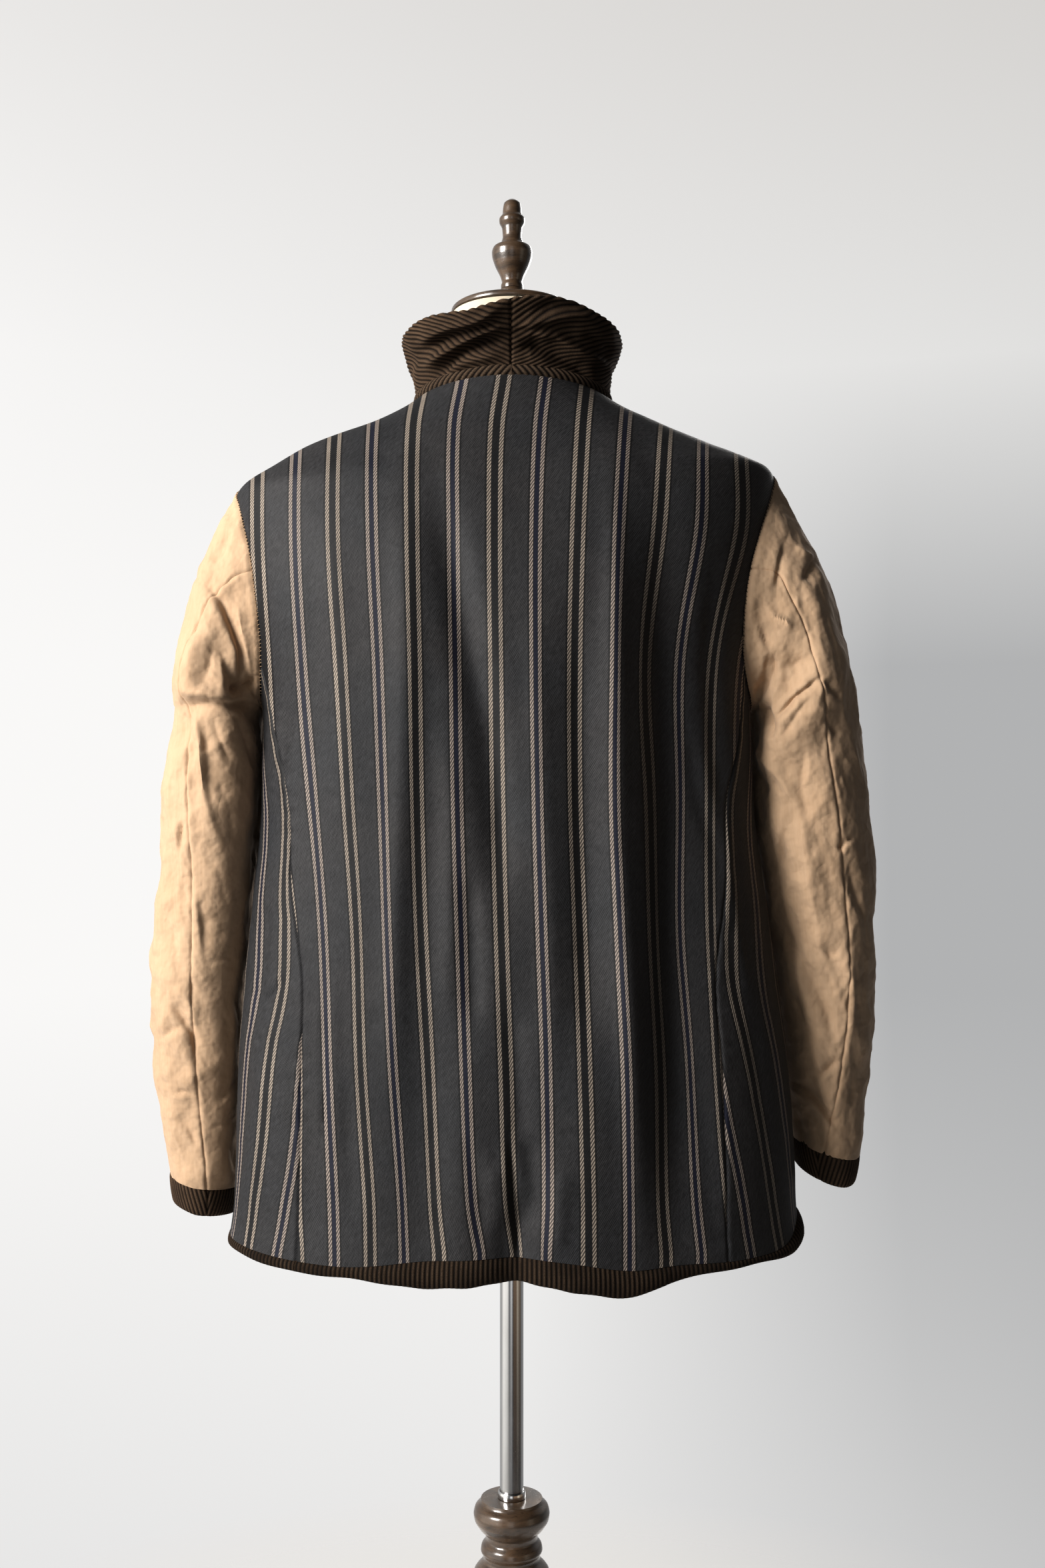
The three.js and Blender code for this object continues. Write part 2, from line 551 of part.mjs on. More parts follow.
// A doubled edge that rolls out under the lining, as a closed section swept round the body.
function hemBand(name, from, to, columns) {
  const sections = [];
  for (let j = 0; j <= columns; j += 1) {
    const angle = mix(from, to, j / columns);
    const turn = angle < -180 ? angle + 360 : angle;
    const top = hemHeight(turn, 'lining') - HEM_GAP;
    const bottom = hemHeight(turn, 'corduroy');
    const side = Math.sign(angle);
    const lift = side < 0 ? frontLift(angle, HEM, -1) : 0;
    const roll = clamp((top - bottom) / 12, 0.4, 1.4) * (1 - smoothStep(120, 155, Math.abs(angle)));
    const profile = [
      { z: top, out: 0 }, { z: mix(top, bottom, 0.4), out: 1.2 * roll },
      { z: mix(top, bottom, 0.85), out: 0.8 * roll }, { z: bottom, out: -CORDUROY / 2 },
      { z: mix(top, bottom, 0.85), out: -CORDUROY }, { z: top, out: -CORDUROY },
    ];
    sections.push(profile.map(({ z, out }) => {
      const base = bodyPoint(angle, z);
      const normal = bodyNormal(angle, z);
      return base.addScaledVector(normal, bodyFold(base) + lift + out);
    }));
  }
  return sweep(name, CORD, sections, false);
}

// Closed body through sections of equal length, with flat ends or joined round.
function sweep(name, material, sections, closed) {
  const points = sections.flat();
  const n = sections[0].length;
  const index = [];
  const last = closed ? sections.length : sections.length - 1;
  for (let i = 0; i < last; i += 1) {
    const next = (i + 1) % sections.length;
    for (let k = 0; k < n; k += 1) {
      const m = (k + 1) % n;
      index.push(i * n + k, i * n + m, next * n + m, i * n + k, next * n + m, next * n + k);
    }
  }
  if (!closed) {
    for (const [i, flip] of [[0, true], [sections.length - 1, false]]) {
      const middle = new THREE.Vector3();
      sections[i].forEach((p) => middle.addScaledVector(p, 1 / n));
      points.push(middle);
      const hub = points.length - 1;
      for (let k = 0; k < n; k += 1) {
        const a = i * n + k;
        const b = i * n + ((k + 1) % n);
        index.push(...(flip ? [hub, b, a] : [hub, a, b]));
      }
    }
  }
  return solid(name, material, points, index);
}

// ---------------------------------------------------------------- sleeves

// Smooth reading of a sleeve's rings; its own sleeve point at an angle round the ring.
function tubePoint(table, side, angle, ring) {
  const at = clamp(ring, 0, table.length - 1);
  const read = (column) => look(table.map((row, i) => ({ ...row, i })), 'i', at, column);
  const a = radians(angle);
  const round = (value) => Math.sign(value) * Math.abs(value) ** 0.92;
  const reach = round(Math.cos(a)) / 2;
  const x = (read('outX') + read('inX')) / 2 + (read('outX') - read('inX')) * reach;
  const z = (read('outZ') + read('inZ')) / 2 + (read('outZ') - read('inZ')) * reach;
  return new THREE.Vector3(side * x, read('y') - read('depth') * round(Math.sin(a)), z);
}

// The armhole's edge on the body, round the same angle as the sleeve's rings.
function armholePlace(side, turn) {
  const height = armholeHeight(turn);
  return [angleAtDepth(height, side, -ARMHOLE_DEPTH * Math.sin(radians(turn))), height];
}

// The sleeve's first ring: the armhole's edge moved into the opening by the seam's gap.
function sleeveHead(side, turn) {
  const place = armholePlace(side, turn);
  const point = bodyPoint(...place);
  const along = bodyPoint(...armholePlace(side, turn + 1)).sub(bodyPoint(...armholePlace(side, turn - 1)));
  const into = bodyNormal(...place).cross(along).normalize();
  const middle = new THREE.Vector3(point.x, 0, ARMHOLE_MIDDLE);
  const sign = Math.sign(into.dot(middle.sub(point)));
  return point.addScaledVector(into, sign * ARMHOLE_SEAM);
}

function sleeveSurface(table, side) {
  return (angle, ring) => {
    const point = tubePoint(table, side, angle, ring);
    const share = clamp(1 - ring, 0, 1) ** 2;
    if (share > 0) {
      point.addScaledVector(sleeveHead(side, angle).sub(tubePoint(table, side, angle, 0)), share);
    }
    return point;
  };
}

function creaseDepth(creases, angle, ring) {
  let depth = 0;
  for (const crease of creases) {
    const turn = ((angle - crease.angle + 540) % 360) - 180;
    depth += crease.depth * bump(turn, crease.across) * bump(ring - crease.ring, crease.along);
  }
  return depth;
}

function sleeveWall(table, side, creases, angle, ring) {
  const surface = sleeveSurface(table, side);
  const base = surface(angle, ring);
  const normal = normalOf(surface, angle, clamp(ring, 0.06, CUFF_END - 0.06), 0.5, 0.05);
  normal.multiplyScalar(side);
  const outer = base.addScaledVector(normal, creaseDepth(creases, angle, ring));
  const inward = normal.clone();
  if (ring < 0.5) {
    inward.lerp(bodyNormal(...armholePlace(side, angle)), 1 - ring * 2).normalize();
  }
  return { outer, inner: outer.clone().addScaledVector(inward, -SLEEVE_CLOTH) };
}

// Places round an armhole from one angle to another, the same as along the body's edge.
function armholeTurns(from, to) {
  const turns = [];
  let turn = from;
  while (turn <= to) {
    turns.push(turn);
    const low = turn >= SEAM_TURN && turn < 360 - SEAM_TURN;
    turn += low ? UNDERARM_STEP : ARMHOLE_STEP;
  }
  return turns;
}

function sleevePiece(name, sleeve, from, to) {
  const gap = degrees(SLEEVE_SEAM / 2 / 50);
  const start = from(0);
  const turns = armholeTurns(start, to(0));
  const shares = turns.map((turn) => (turn - start) / (to(0) - start));
  const grid = rows(SLEEVE_ROWS, shares, (ring, share) => {
    const angle = mix(from(ring) + gap, to(ring) - gap, share);
    return sleeveWall(sleeve.table, sleeve.side, sleeve.creases, angle, ring);
  });
  return wallMesh(name, SLEEVE_LINING, [grid]);
}

// Corduroy end of a sleeve, a short tube that the lining's edge meets.
function cuff(name, sleeve) {
  const list = [CUFF_START + 0.022, CUFF_START + 0.35, CUFF_START + 0.7, CUFF_END];
  const sections = [];
  const columns = 24;
  for (let j = 0; j < columns; j += 1) {
    const angle = (j / columns) * 360;
    const places = list.map((ring) => sleeveWall(sleeve.table, sleeve.side, [], angle, ring));
    const outer = places.map((place) => place.outer);
    const inner = places.map((place) => place.outer.clone().lerp(place.inner, CORDUROY / SLEEVE_CLOTH));
    sections.push([...outer, ...inner.reverse()]);
  }
  return sweep(name, CORD, sections, true);
}

function sleevePieces() {
  const left = { table: LEFT_SLEEVE, side: -1, creases: LEFT_CREASES, seam: LEFT_ELBOW_SEAM };
  const right = { table: RIGHT_SLEEVE, side: 1, creases: RIGHT_CREASES, seam: RIGHT_ELBOW_SEAM };
  const pieces = [];
  for (const [word, sleeve] of [['left', left], ['right', right]]) {
    const elbow = (ring) => look(sleeve.seam, 'ring', ring, 'angle');
    const front = () => FRONT_SLEEVE_SEAM;
    pieces.push(sleevePiece(`under_sleeve_${word}`, sleeve, elbow, front));
    pieces.push(sleevePiece(`top_sleeve_${word}`, sleeve, () => front() - 360, elbow));
    pieces.push(cuff(`cuff_${word}`, sleeve));
  }
  return pieces;
}

// ---------------------------------------------------------------- neck band and collar

function collarPoint(angle, rise) {
  const ring = { square: COLLAR_SQUARE };
  for (const key of ['left', 'right', 'back', 'front', 'zBack', 'zSide', 'zFront']) {
    ring[key] = look(COLLAR_RINGS, 'rise', rise, key);
  }
  const heights = { left: ring.zSide, right: ring.zSide, back: ring.zBack, front: ring.zFront };
  return ringPoint(ring, angle, heights);
}

function collarHalf(name, side) {
  const gap = degrees(SEAM / 2 / 70);
  const grid = rows([0, 0.2, 0.4, 0.55, 0.7, 0.85, 1], evenShares(ROUND / 2), (rise, share) => {
    const angle = side * mix(gap, COLLAR_END, share);
    const base = collarPoint(angle, rise);
    const normal = normalOf(collarPoint, angle, clamp(rise, 0.02, 0.98), 0.4, 0.02);
    let depth = 0;
    for (const fold of COLLAR_FOLDS) {
      depth += fold.depth * bump(angle - fold.angle, fold.across) * bump(rise - fold.rise, fold.along);
    }
    const outer = base.addScaledVector(normal, depth);
    return { outer, inner: outer.clone().addScaledVector(normal, -CORDUROY) };
  });
  return wallMesh(name, CORD, [grid]);
}

// Narrow band that stands on the neck seam and carries the collar.
function neckBand() {
  const sections = [];
  for (let j = 0; j <= ROUND; j += 1) {
    const angle = clamp(mix(-180, 180, j / ROUND), -COLLAR_END, COLLAR_END);
    const low = bodyPoint(angle, NECK);
    const out = new THREE.Vector3(low.x, low.y, 0).normalize();
    const section = [];
    for (const [rise, push] of [[SEAM, 0], [SEAM + BAND_HEIGHT, 0], [SEAM + BAND_HEIGHT, -CORDUROY],
      [SEAM, -CORDUROY]]) {
      const point = low.clone().addScaledVector(out, push);
      point.z += rise;
      section.push(point);
    }
    sections.push(section);
  }
  return sweep('neck_band', CORD, sections, false);
}

// ---------------------------------------------------------------- dress form and stand

function dressForm() {
  const rings = FORM_ROWS.map((height) => {
    const inset = look(FORM_INSET, 'height', height, 'inset');
    const ring = [];
    for (let j = 0; j < ROUND; j += 1) {
      const angle = mix(-180, 180, j / ROUND);
      const normal = bodyNormal(angle, height);
      if (height < SHOULDER_TIP) {
        normal.setZ(0).normalize();
      }
      ring.push(bodyPoint(angle, height).addScaledVector(normal, -inset));
    }
    return ring;
  });
  for (const { z, side, depth } of FORM_NECK) {
    const ring = [];
    for (let j = 0; j < ROUND; j += 1) {
      const a = radians(mix(-180, 180, j / ROUND));
      ring.push(new THREE.Vector3(side * Math.sin(a), -depth * Math.cos(a), z));
    }
    rings.push(ring);
  }
  return sweep('dress_form', FORM_CLOTH, rings, false);
}

function turned(name, material, profile) {
  const points = [
    new THREE.Vector2(0, profile[0].z),
    ...profile.map(({ r, z }) => new THREE.Vector2(r, z)),
    new THREE.Vector2(0, profile.at(-1).z),
  ];
  const geometry = new THREE.LatheGeometry(points, TURNED);
  geometry.rotateX(Math.PI / 2);
  const mesh = new THREE.Mesh(geometry, material);
  mesh.name = name;
  return mesh;
}

function ferrule() {
  const inside = POLE_RADIUS + 0.3;
  const low = POST_TOP + 0.3;
  const outline = [
    [inside, low], [13.5, low], [13.5, low + 4], [12, low + 6], [inside, low + 6], [inside, low],
  ];
  const geometry = new THREE.LatheGeometry(outline.map(([r, z]) => new THREE.Vector2(r, z)), TURNED);
  geometry.rotateX(Math.PI / 2);
  const mesh = new THREE.Mesh(geometry, CHROME);
  mesh.name = 'ferrule';
  return mesh;
}

// Curved leg with a flat foot, extruded to its width and turned to its corner.
function leg(number) {
  const inner = LEG_BLOCK_RADIUS * Math.cos(Math.PI / TURNED) + 0.3;
  const outline = new THREE.Shape();
  outline.moveTo(inner, 146);
  outline.quadraticCurveTo(104, 146, 150, 84);
  outline.quadraticCurveTo(190, 28, 250, 22);
  outline.lineTo(266, 14);
  outline.lineTo(266, 0);
  outline.lineTo(218, 0);
  outline.quadraticCurveTo(166, 10, 128, 56);
  outline.quadraticCurveTo(92, 96, inner, 96);
  outline.closePath();
  const geometry = new THREE.ExtrudeGeometry(outline, {
    depth: LEG_WIDTH, bevelEnabled: false, curveSegments: 7,
  });
  geometry.translate(0, 0, -LEG_WIDTH / 2);
  geometry.rotateX(Math.PI / 2);
  const mesh = new THREE.Mesh(geometry, WOOD);
  mesh.rotation.z = radians(45 + (360 / LEG_COUNT) * number);
  mesh.name = `leg_${number + 1}`;
  return mesh;
}

// ---------------------------------------------------------------- the whole object

const jacket = new THREE.Group();
jacket.add(backPanel(), frontPanel('front_left', -1), frontPanel('front_right', 1));
const hemSeam = backEdge(HEM, 1);
const hemGap = seamAngle(HEM);
jacket.add(hemBand('hem_back', -hemSeam + hemGap, hemSeam - hemGap, 28));
jacket.add(hemBand('hem_front_left', frontEnd(HEM, -1), -hemSeam - hemGap, 20));
jacket.add(hemBand('hem_front_right', hemSeam + hemGap, frontEnd(HEM, 1), 20));
jacket.add(...sleevePieces());
jacket.add(neckBand(), collarHalf('collar_left', -1), collarHalf('collar_right', 1));

const stand = new THREE.Group();
stand.add(dressForm());
stand.add(turned('neck_cap', WOOD, CAP_PROFILE));
stand.add(turned('finial', WOOD, FINIAL_PROFILE));
stand.add(turned('pole', CHROME, [
  { r: POLE_RADIUS, z: POST_TOP + 0.3 },
  { r: POLE_RADIUS, z: FORM_BOTTOM - 0.3 },
]));
stand.add(ferrule());
stand.add(turned('post', WOOD, POST_PROFILE));
for (let i = 0; i < LEG_COUNT; i += 1) {
  stand.add(leg(i));
}

const model = new THREE.Group();
model.add(jacket, stand);

export default model;
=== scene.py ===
"""Looks of a hunting jacket turned inside out on a limbless dress form with a turned stand.

The tables are in millimetres in the CAD's frame: +Z up, the jacket's back towards -Y and its
left side towards -X. The meshes are made in metres.
"""
import math

import bpy
import numpy as np
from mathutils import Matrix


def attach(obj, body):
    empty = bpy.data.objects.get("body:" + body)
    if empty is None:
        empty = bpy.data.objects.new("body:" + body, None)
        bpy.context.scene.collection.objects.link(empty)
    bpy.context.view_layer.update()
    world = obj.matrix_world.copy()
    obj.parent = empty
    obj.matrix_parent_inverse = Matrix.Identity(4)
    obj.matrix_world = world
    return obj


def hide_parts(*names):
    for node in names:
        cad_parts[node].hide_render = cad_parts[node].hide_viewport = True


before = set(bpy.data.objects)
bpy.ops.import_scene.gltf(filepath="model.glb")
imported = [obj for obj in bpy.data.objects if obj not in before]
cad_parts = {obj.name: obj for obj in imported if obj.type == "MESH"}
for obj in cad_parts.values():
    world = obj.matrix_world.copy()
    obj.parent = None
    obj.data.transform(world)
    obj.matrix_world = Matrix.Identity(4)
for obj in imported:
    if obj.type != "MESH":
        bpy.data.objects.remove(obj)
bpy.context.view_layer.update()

MM = 0.001

# ---------------------------------------------------------------- camera

CAMERA = np.array([9.2, -1358.0, 870.4])
CAMERA_TILT = math.radians(2.78)   # looks up by this much, towards +Y
FOCAL = 2350.0                     # focal length in pixels of the 1568 x 2352 frame
FRAME_WIDTH, FRAME_HEIGHT = 1568, 2352
SENSOR = 36.0

# ---------------------------------------------------------------- the frame's own dimensions

HEM = 552.0
UNDERARM = 1002.0
SHOULDER_TIP = 1190.0
NECK = 1268.0
ARMHOLE_DEPTH = 53.0
ARMHOLE_MIDDLE = (UNDERARM + SHOULDER_TIP) / 2
ARMHOLE_HALF = (SHOULDER_TIP - UNDERARM) / 2
SEAM_TURN = 128.0
SEAM_TOP = ARMHOLE_MIDDLE + ARMHOLE_HALF * math.cos(math.radians(SEAM_TURN))
OVERLAP = 20.0
OVERLAP_LIFT = 3.7
CLOTH = 2.8
SLEEVE_CLOTH = 2.0
FORM_BOTTOM = 606.0
POLE_RADIUS = 10.0
POST_TOP = 330.0
LEG_WIDTH = 28.0
LEG_BLOCK_RADIUS = 34.0

# height, left, right, back, front, rise of the right, rise of the back, rise of the front, square
BODY_RINGS = np.array([
    [520, 244, 250, 119, 121, 0, 0, 0, 2.4],
    [548, 241, 246, 118, 120, 0, 0, 0, 2.4],
    [575, 237, 242, 117, 119, 0, 0, 0, 2.4],
    [615, 235, 241, 116, 118, 0, 0, 0, 2.4],
    [658, 234, 239, 114, 117, 0, 0, 0, 2.4],
    [715, 232, 234, 112, 116, 0, 0, 0, 2.4],
    [761, 229, 228, 109, 115, 0, 0, 0, 2.4],
    [830, 223, 219, 105, 115, 0, 0, 0, 2.4],
    [905, 216, 210, 104, 116, 0, 0, 0, 2.4],
    [963, 215, 208, 107, 118, 0, 0, 0, 2.4],
    [1004, 216, 206, 110, 119, 0, 0, 0, 2.4],
    [1040, 222, 206, 112, 119, 0, 0, 0, 2.4],
    [1094, 233, 214, 112, 116, 1, 0, -2, 2.4],
    [1140, 238, 223, 107, 110, 4, 0, -6, 2.4],
    [1172, 239, 228, 101, 102, 9, 0, -10, 2.4],
    [1190, 236, 227, 97, 96, 13, 0, -14, 2.4],
    [1209, 209, 213, 91, 88, 4, 0, -22, 2.35],
    [1227, 177, 177, 85, 82, 0, 1, -30, 2.3],
    [1244, 130, 136, 79, 78, 0, 3, -38, 2.25],
    [1257, 102, 106, 74, 76, 0, 6, -43, 2.2],
    [1268, 84, 86, 70, 76, 0, 8, -46, 2.15],
])

SIDE_SEAM = np.array([
    [520, 61.5], [700, 63.4], [774, 64.3], [846, 68.6], [921, 71], [983, 75.8], [1037, 79.1],
])

# Soft folds of the solids: x, low, high, lean, width, depth.
BODY_FOLDS = [
    (139, 560, 1180, 10, 26, -7),
    (104, 560, 1120, 4, 20, 3),
    (-66, 540, 1100, -6, 26, -4),
    (3, 500, 640, 0, 15, -7),
    (60, 500, 800, 4, 26, 4),
    (-40, 500, 760, -4, 20, 3),
    (-165, 560, 800, -8, 16, -3),
]

# angle, height of the lining's edge, height of the corduroy's edge
HEM_LINE = np.array([
    [-180, 556, 544], [-120, 556, 545], [-82, 557, 550], [-62, 551, 542], [-50, 550, 541],
    [-32, 556, 535], [-16, 558, 537], [2, 559, 540], [24, 555, 533], [40, 549, 528],
    [52, 551, 540], [66, 551, 545], [76, 556, 546], [87, 577, 549], [97, 574, 549],
    [112, 557, 546], [130, 556, 545], [180, 556, 544],
])

# outX, outZ, inX, inZ, half depth, y
LEFT_SLEEVE = np.array([
    [238, 1190, 214, 1002, 53, 0],
    [248, 1171, 217.5, 1000, 55, 1],
    [257, 1152, 218, 996, 58, 3],
    [271, 1122, 218, 989, 64, 7],
    [281, 1087, 217.5, 977, 69, 11],
    [289, 1048, 217, 961, 72, 15],
    [297, 1000, 217, 939, 73, 19],
    [303, 950, 217.5, 911, 72, 23],
    [307, 894, 220, 875, 71, 27],
    [311, 841, 224, 833, 69, 31],
    [318, 770, 230, 768, 66, 37],
    [316, 717, 234, 712, 63, 41],
    [311, 663, 236.5, 658, 60, 45],
    [304, 615, 238, 609, 57, 48],
    [301, 584, 240, 577, 55, 50],
    [298, 560, 243, 553, 53, 51],
])
RIGHT_SLEEVE = np.array([
    [228, 1203, 207, 1002, 53, 0],
    [238, 1182, 210, 1000, 55, 1],
    [250, 1160, 210, 996, 58, 3],
    [271, 1124, 210, 989, 64, 7],
    [283, 1088, 210, 977, 69, 11],
    [293, 1050, 210, 961, 72, 15],
    [302, 1008, 210.5, 939, 73, 19],
    [308, 955, 211, 911, 72, 23],
    [315, 894, 214.5, 875, 71, 27],
    [318, 835, 220, 833, 69, 31],
    [318, 779, 227.5, 778, 66, 36],
    [317, 731, 234, 734, 63, 40],
    [314, 687, 239, 694, 60, 44],
    [309, 646, 243, 658, 57, 47],
    [306, 617, 246, 632, 55, 49],
    [302, 593, 249.5, 606, 53, 50],
])
LEFT_ELBOW_SEAM = np.array([[0, 80], [1.5, 76], [3, 64], [4.5, 56], [7, 76], [10, 94], [15, 108]])
RIGHT_ELBOW_SEAM = np.array([[0, 80], [4, 82], [8, 77], [10, 75], [12, 86], [15, 116]])
FRONT_SLEEVE_SEAM = 264.0

# Creases of the solids: angle, ring, across, along, depth.
LEFT_SLEEVE_FOLDS = [
    (60, 6.1, 70, 0.5, -5), (60, 5.0, 70, 0.6, 4), (120, 3.2, 34, 0.8, -6),
    (118, 4.6, 34, 0.7, 4), (70, 8.6, 40, 0.9, -3),
]
RIGHT_SLEEVE_FOLDS = [
    (112, 3.4, 40, 0.9, -6), (104, 5.0, 40, 0.8, 5), (80, 6.2, 46, 0.5, -5), (100, 8.8, 40, 0.9, -3),
]

# rise, left, right, back, front, zBack, zSide, zFront
COLLAR_RINGS = np.array([
    [0, 84, 86, 70, 76, 1283, 1275, 1229],
    [0.25, 86, 86.5, 73, 78, 1294, 1287, 1239],
    [0.5, 88.5, 88, 80, 80, 1306, 1299, 1250],
    [0.75, 92, 92, 90, 82, 1318.5, 1311, 1261],
    [1, 94, 94.5, 100, 84, 1329.5, 1321.5, 1272],
])
COLLAR_FOLDS = [
    (-42, 0.52, 26, 0.2, -4.5), (-30, 0.8, 24, 0.2, 3), (34, 0.5, 30, 0.2, -5), (46, 0.72, 24, 0.18, 3),
]
COLLAR_SQUARE = 2.15
COLLAR_END = 178.0

FORM_INSET = np.array([
    [600, 52], [700, 46], [800, 46], [900, 50], [1000, 42], [1090, 38], [1150, 28], [1184, 12],
    [1199, 3.9], [1209, 3.9], [1227, 3.9], [1244, 3.9], [1257, 10], [1268, 19],
])
FORM_NECK = [(1296, 61, 58), (1330, 56, 54), (1348, 53, 52)]

POST_PROFILE = [
    (18, 70), (26, 76), (34, 88), (34, 152), (29, 156), (34, 161), (34, 166), (27, 172), (29, 182),
    (36, 200), (39, 220), (37.5, 245), (32, 271), (24, 279), (24, 283), (26.3, 287), (25.4, 292),
    (21.7, 296), (22.4, 301), (27, 305.5), (31.4, 312), (32.4, 318), (31, 323.5), (26.8, 327.5),
    (26, 330),
]
CAP_PROFILE = [
    (51.5, 1348.6), (53.4, 1349.2), (53.5, 1351), (53.2, 1353), (51, 1354.6), (44, 1356), (32, 1358.4),
    (20, 1361), (13.5, 1364), (11.4, 1367.5), (10.6, 1370.5), (10.2, 1372),
]
FINIAL_PROFILE = [
    (9.8, 1372.5), (9.8, 1376), (8.8, 1379), (10.4, 1384.5), (14.8, 1393), (17.5, 1401),
    (17.9, 1406), (16.6, 1410), (10, 1413), (8.1, 1419), (8.8, 1428), (11.2, 1432), (11.4, 1436),
    (8.4, 1439.5), (8.1, 1445), (7.2, 1450), (4, 1452.4),
]

POLE_PROFILE = [(POLE_RADIUS, POST_TOP + 0.3), (POLE_RADIUS, FORM_BOTTOM - 0.3)]
FERRULE_PROFILE = [
    (POLE_RADIUS + 0.3, POST_TOP + 0.3), (11.7, POST_TOP + 0.3), (11.8, POST_TOP + 0.8),
    (11.8, POST_TOP + 4), (11.6, POST_TOP + 5), (11.2, POST_TOP + 6.1), (11, POST_TOP + 6.3),
    (POLE_RADIUS + 0.3, POST_TOP + 6.3),
]

# ---------------------------------------------------------------- the cloth's own pattern

STRIPE_PITCH = 33.0    # from one pair of stripes to the next
RIB_PITCH = 3.8        # of the corduroy

# Where the pairs of stripes run down the back, in pixels of the photograph's frame: the height
# of each row, the number of its first pair, and the places of the pairs.
STRIPE_ROWS = [
    (560, -3, [574, 636, 695, 757, 820, 883, 946, 1010]),
    (640, -3, [559, 620, 681, 745, 810, 875, 938, 1000]),
    (800, -5, [442, 499, 558, 618, 680, 742, 804, 867, 929, 988, 1051, 1112]),
    (1000, -6, [397, 452, 511, 567, 622, 683, 744, 804, 862, 925, 967, 1020, 1070, 1112]),
    (1200, -6, [409, 469, 522, 574, 625, 686, 747, 807, 863, 923, 976, 1021, 1066, 1106]),
    (1400, -6, [438, 484, 535, 580, 631, 692, 752, 813, 870, 931, 981, 1020, 1068, 1104]),
    (1600, -6, [445, 491, 541, 589, 642, 698, 759, 820, 877, 941, 991, 1035, 1078, 1113]),
    (1800, -6, [442, 500, 554, 603, 651, 707, 766, 822, 883, 945, 994, 1045, 1095, 1134]),
    (1880, -6, [446, 502, 556, 606, 658, 720, 776, 818, 884, 945, 1000, 1053, 1104, 1144]),
]

# How far the first pair of stripes of each front lies from the side-back seam, by height.
FRONT_STRIPE_LEFT = np.array([
    [552, 55], [600, 42], [650, 35.5], [700, 32], [768, 25], [776, 14], [810, 12], [915, 4], [1002, 0],
])
FRONT_STRIPE_RIGHT = np.array([
    [552, 58], [600, 47], [700, 28], [775, 16], [790, 10], [860, 6], [940, 3], [1002, 0],
])

# Folds seen from behind: points down the fold in pixels of the frame, half width in pixels,
# height in mm (minus for a trough) and, for some, tilt in mm (plus raises the left side going down).
BACK_FOLDS = [
    ([(598, 680), (606, 800), (610, 1000), (604, 1200), (594, 1400), (590, 1720)], 22, 4.2),
    ([(656, 700), (678, 850), (704, 980), (732, 1100), (748, 1250), (754, 1400)], 28, -7.8),
    ([(660, 1060), (676, 1200), (674, 1400), (668, 1560)], 17, 2.4),
    ([(702, 1290), (708, 1400), (712, 1560)], 16, -3.2),
    ([(766, 1480), (776, 1620), (782, 1760)], 18, -3.0),
    ([(800, 860), (806, 1000), (814, 1160), (826, 1400), (830, 1700)], 20, 3.0),
    ([(868, 860), (874, 1200), (888, 1620)], 22, -4.8),
    ([(920, 640), (922, 800), (922, 1000), (924, 1250), (946, 1600), (960, 1860)], 19, 5.6),
    ([(982, 680), (992, 900), (994, 1150), (1006, 1500), (1016, 1860)], 34, -6.6),
    ([(972, 640), (978, 900), (980, 1150), (992, 1500), (1002, 1900)], 62, 0.0, 4.4),
    ([(1040, 660), (1046, 820), (1040, 980)], 20, 1.0),
    ([(490, 760), (512, 1000), (522, 1250)], 20, 1.6),
    ([(463, 800), (478, 1000), (486, 1200)], 16, -1.8),
    ([(486, 1470), (481, 1600), (484, 1750)], 5.0, -2.2, 0.6),
    ([(497, 1440), (498, 1600), (502, 1780)], 12, 1.6),
    ([(523, 1600), (528, 1860)], 14, -1.2),
    ([(762, 1700), (768, 1800), (777, 1905)], 5.5, -2.4, 2.6),
    ([(794, 1690), (800, 1790), (790, 1860)], 17, -3.6),
    ([(740, 1740), (748, 1800), (750, 1860)], 15, 2.6),
    ([(842, 1740), (838, 1830), (832, 1900)], 16, 2.4),
    ([(702, 1690), (716, 1790), (724, 1890)], 13, -1.8),
    ([(1074, 840), (1066, 1000), (1076, 1130), (1098, 1260)], 13, -2.6, 0.8),
    ([(1040, 1090), (1052, 1180), (1084, 1300)], 9, -2.0),
    ([(1100, 1180), (1096, 1300), (1110, 1420), (1128, 1520)], 8, 2.0),
    ([(1052, 1560), (1062, 1700), (1072, 1880)], 14, -1.6),
    ([(1124, 1500), (1150, 1680), (1168, 1860)], 12, -1.8),
    ([(440, 1040), (424, 1120), (410, 1230)], 9, -1.8),
    ([(405, 1330), (392, 1460), (386, 1560)], 9, -1.8),
    ([(424, 1462), (412, 1486), (390, 1512)], 5, -1.6, 0.8),
    ([(400, 1560), (385, 1700), (378, 1860)], 11, 1.6),
    ([(640, 585), (600, 640), (560, 720)], 22, -1.2),
    ([(900, 590), (950, 640), (1000, 730)], 22, -1.2),
]
# The same on the hidden front, where the folds are fewer.
FRONT_FOLDS = [
    ([(560, 800), (575, 1100), (560, 1500), (548, 1860)], 26, -3.0),
    ([(640, 900), (650, 1250), (642, 1800)], 22, 1.8),
    ([(900, 820), (915, 1150), (930, 1600), (940, 1860)], 26, -3.2),
    ([(985, 900), (980, 1300), (1000, 1800)], 22, 2.0),
    ([(470, 960), (452, 1200), (440, 1500)], 18, -2.2),
    ([(1065, 940), (1080, 1150), (1090, 1480)], 16, -2.4),
    ([(500, 730), (560, 800), (600, 900)], 16, -1.6),
    ([(1030, 730), (980, 800), (940, 900)], 16, -1.6),
]

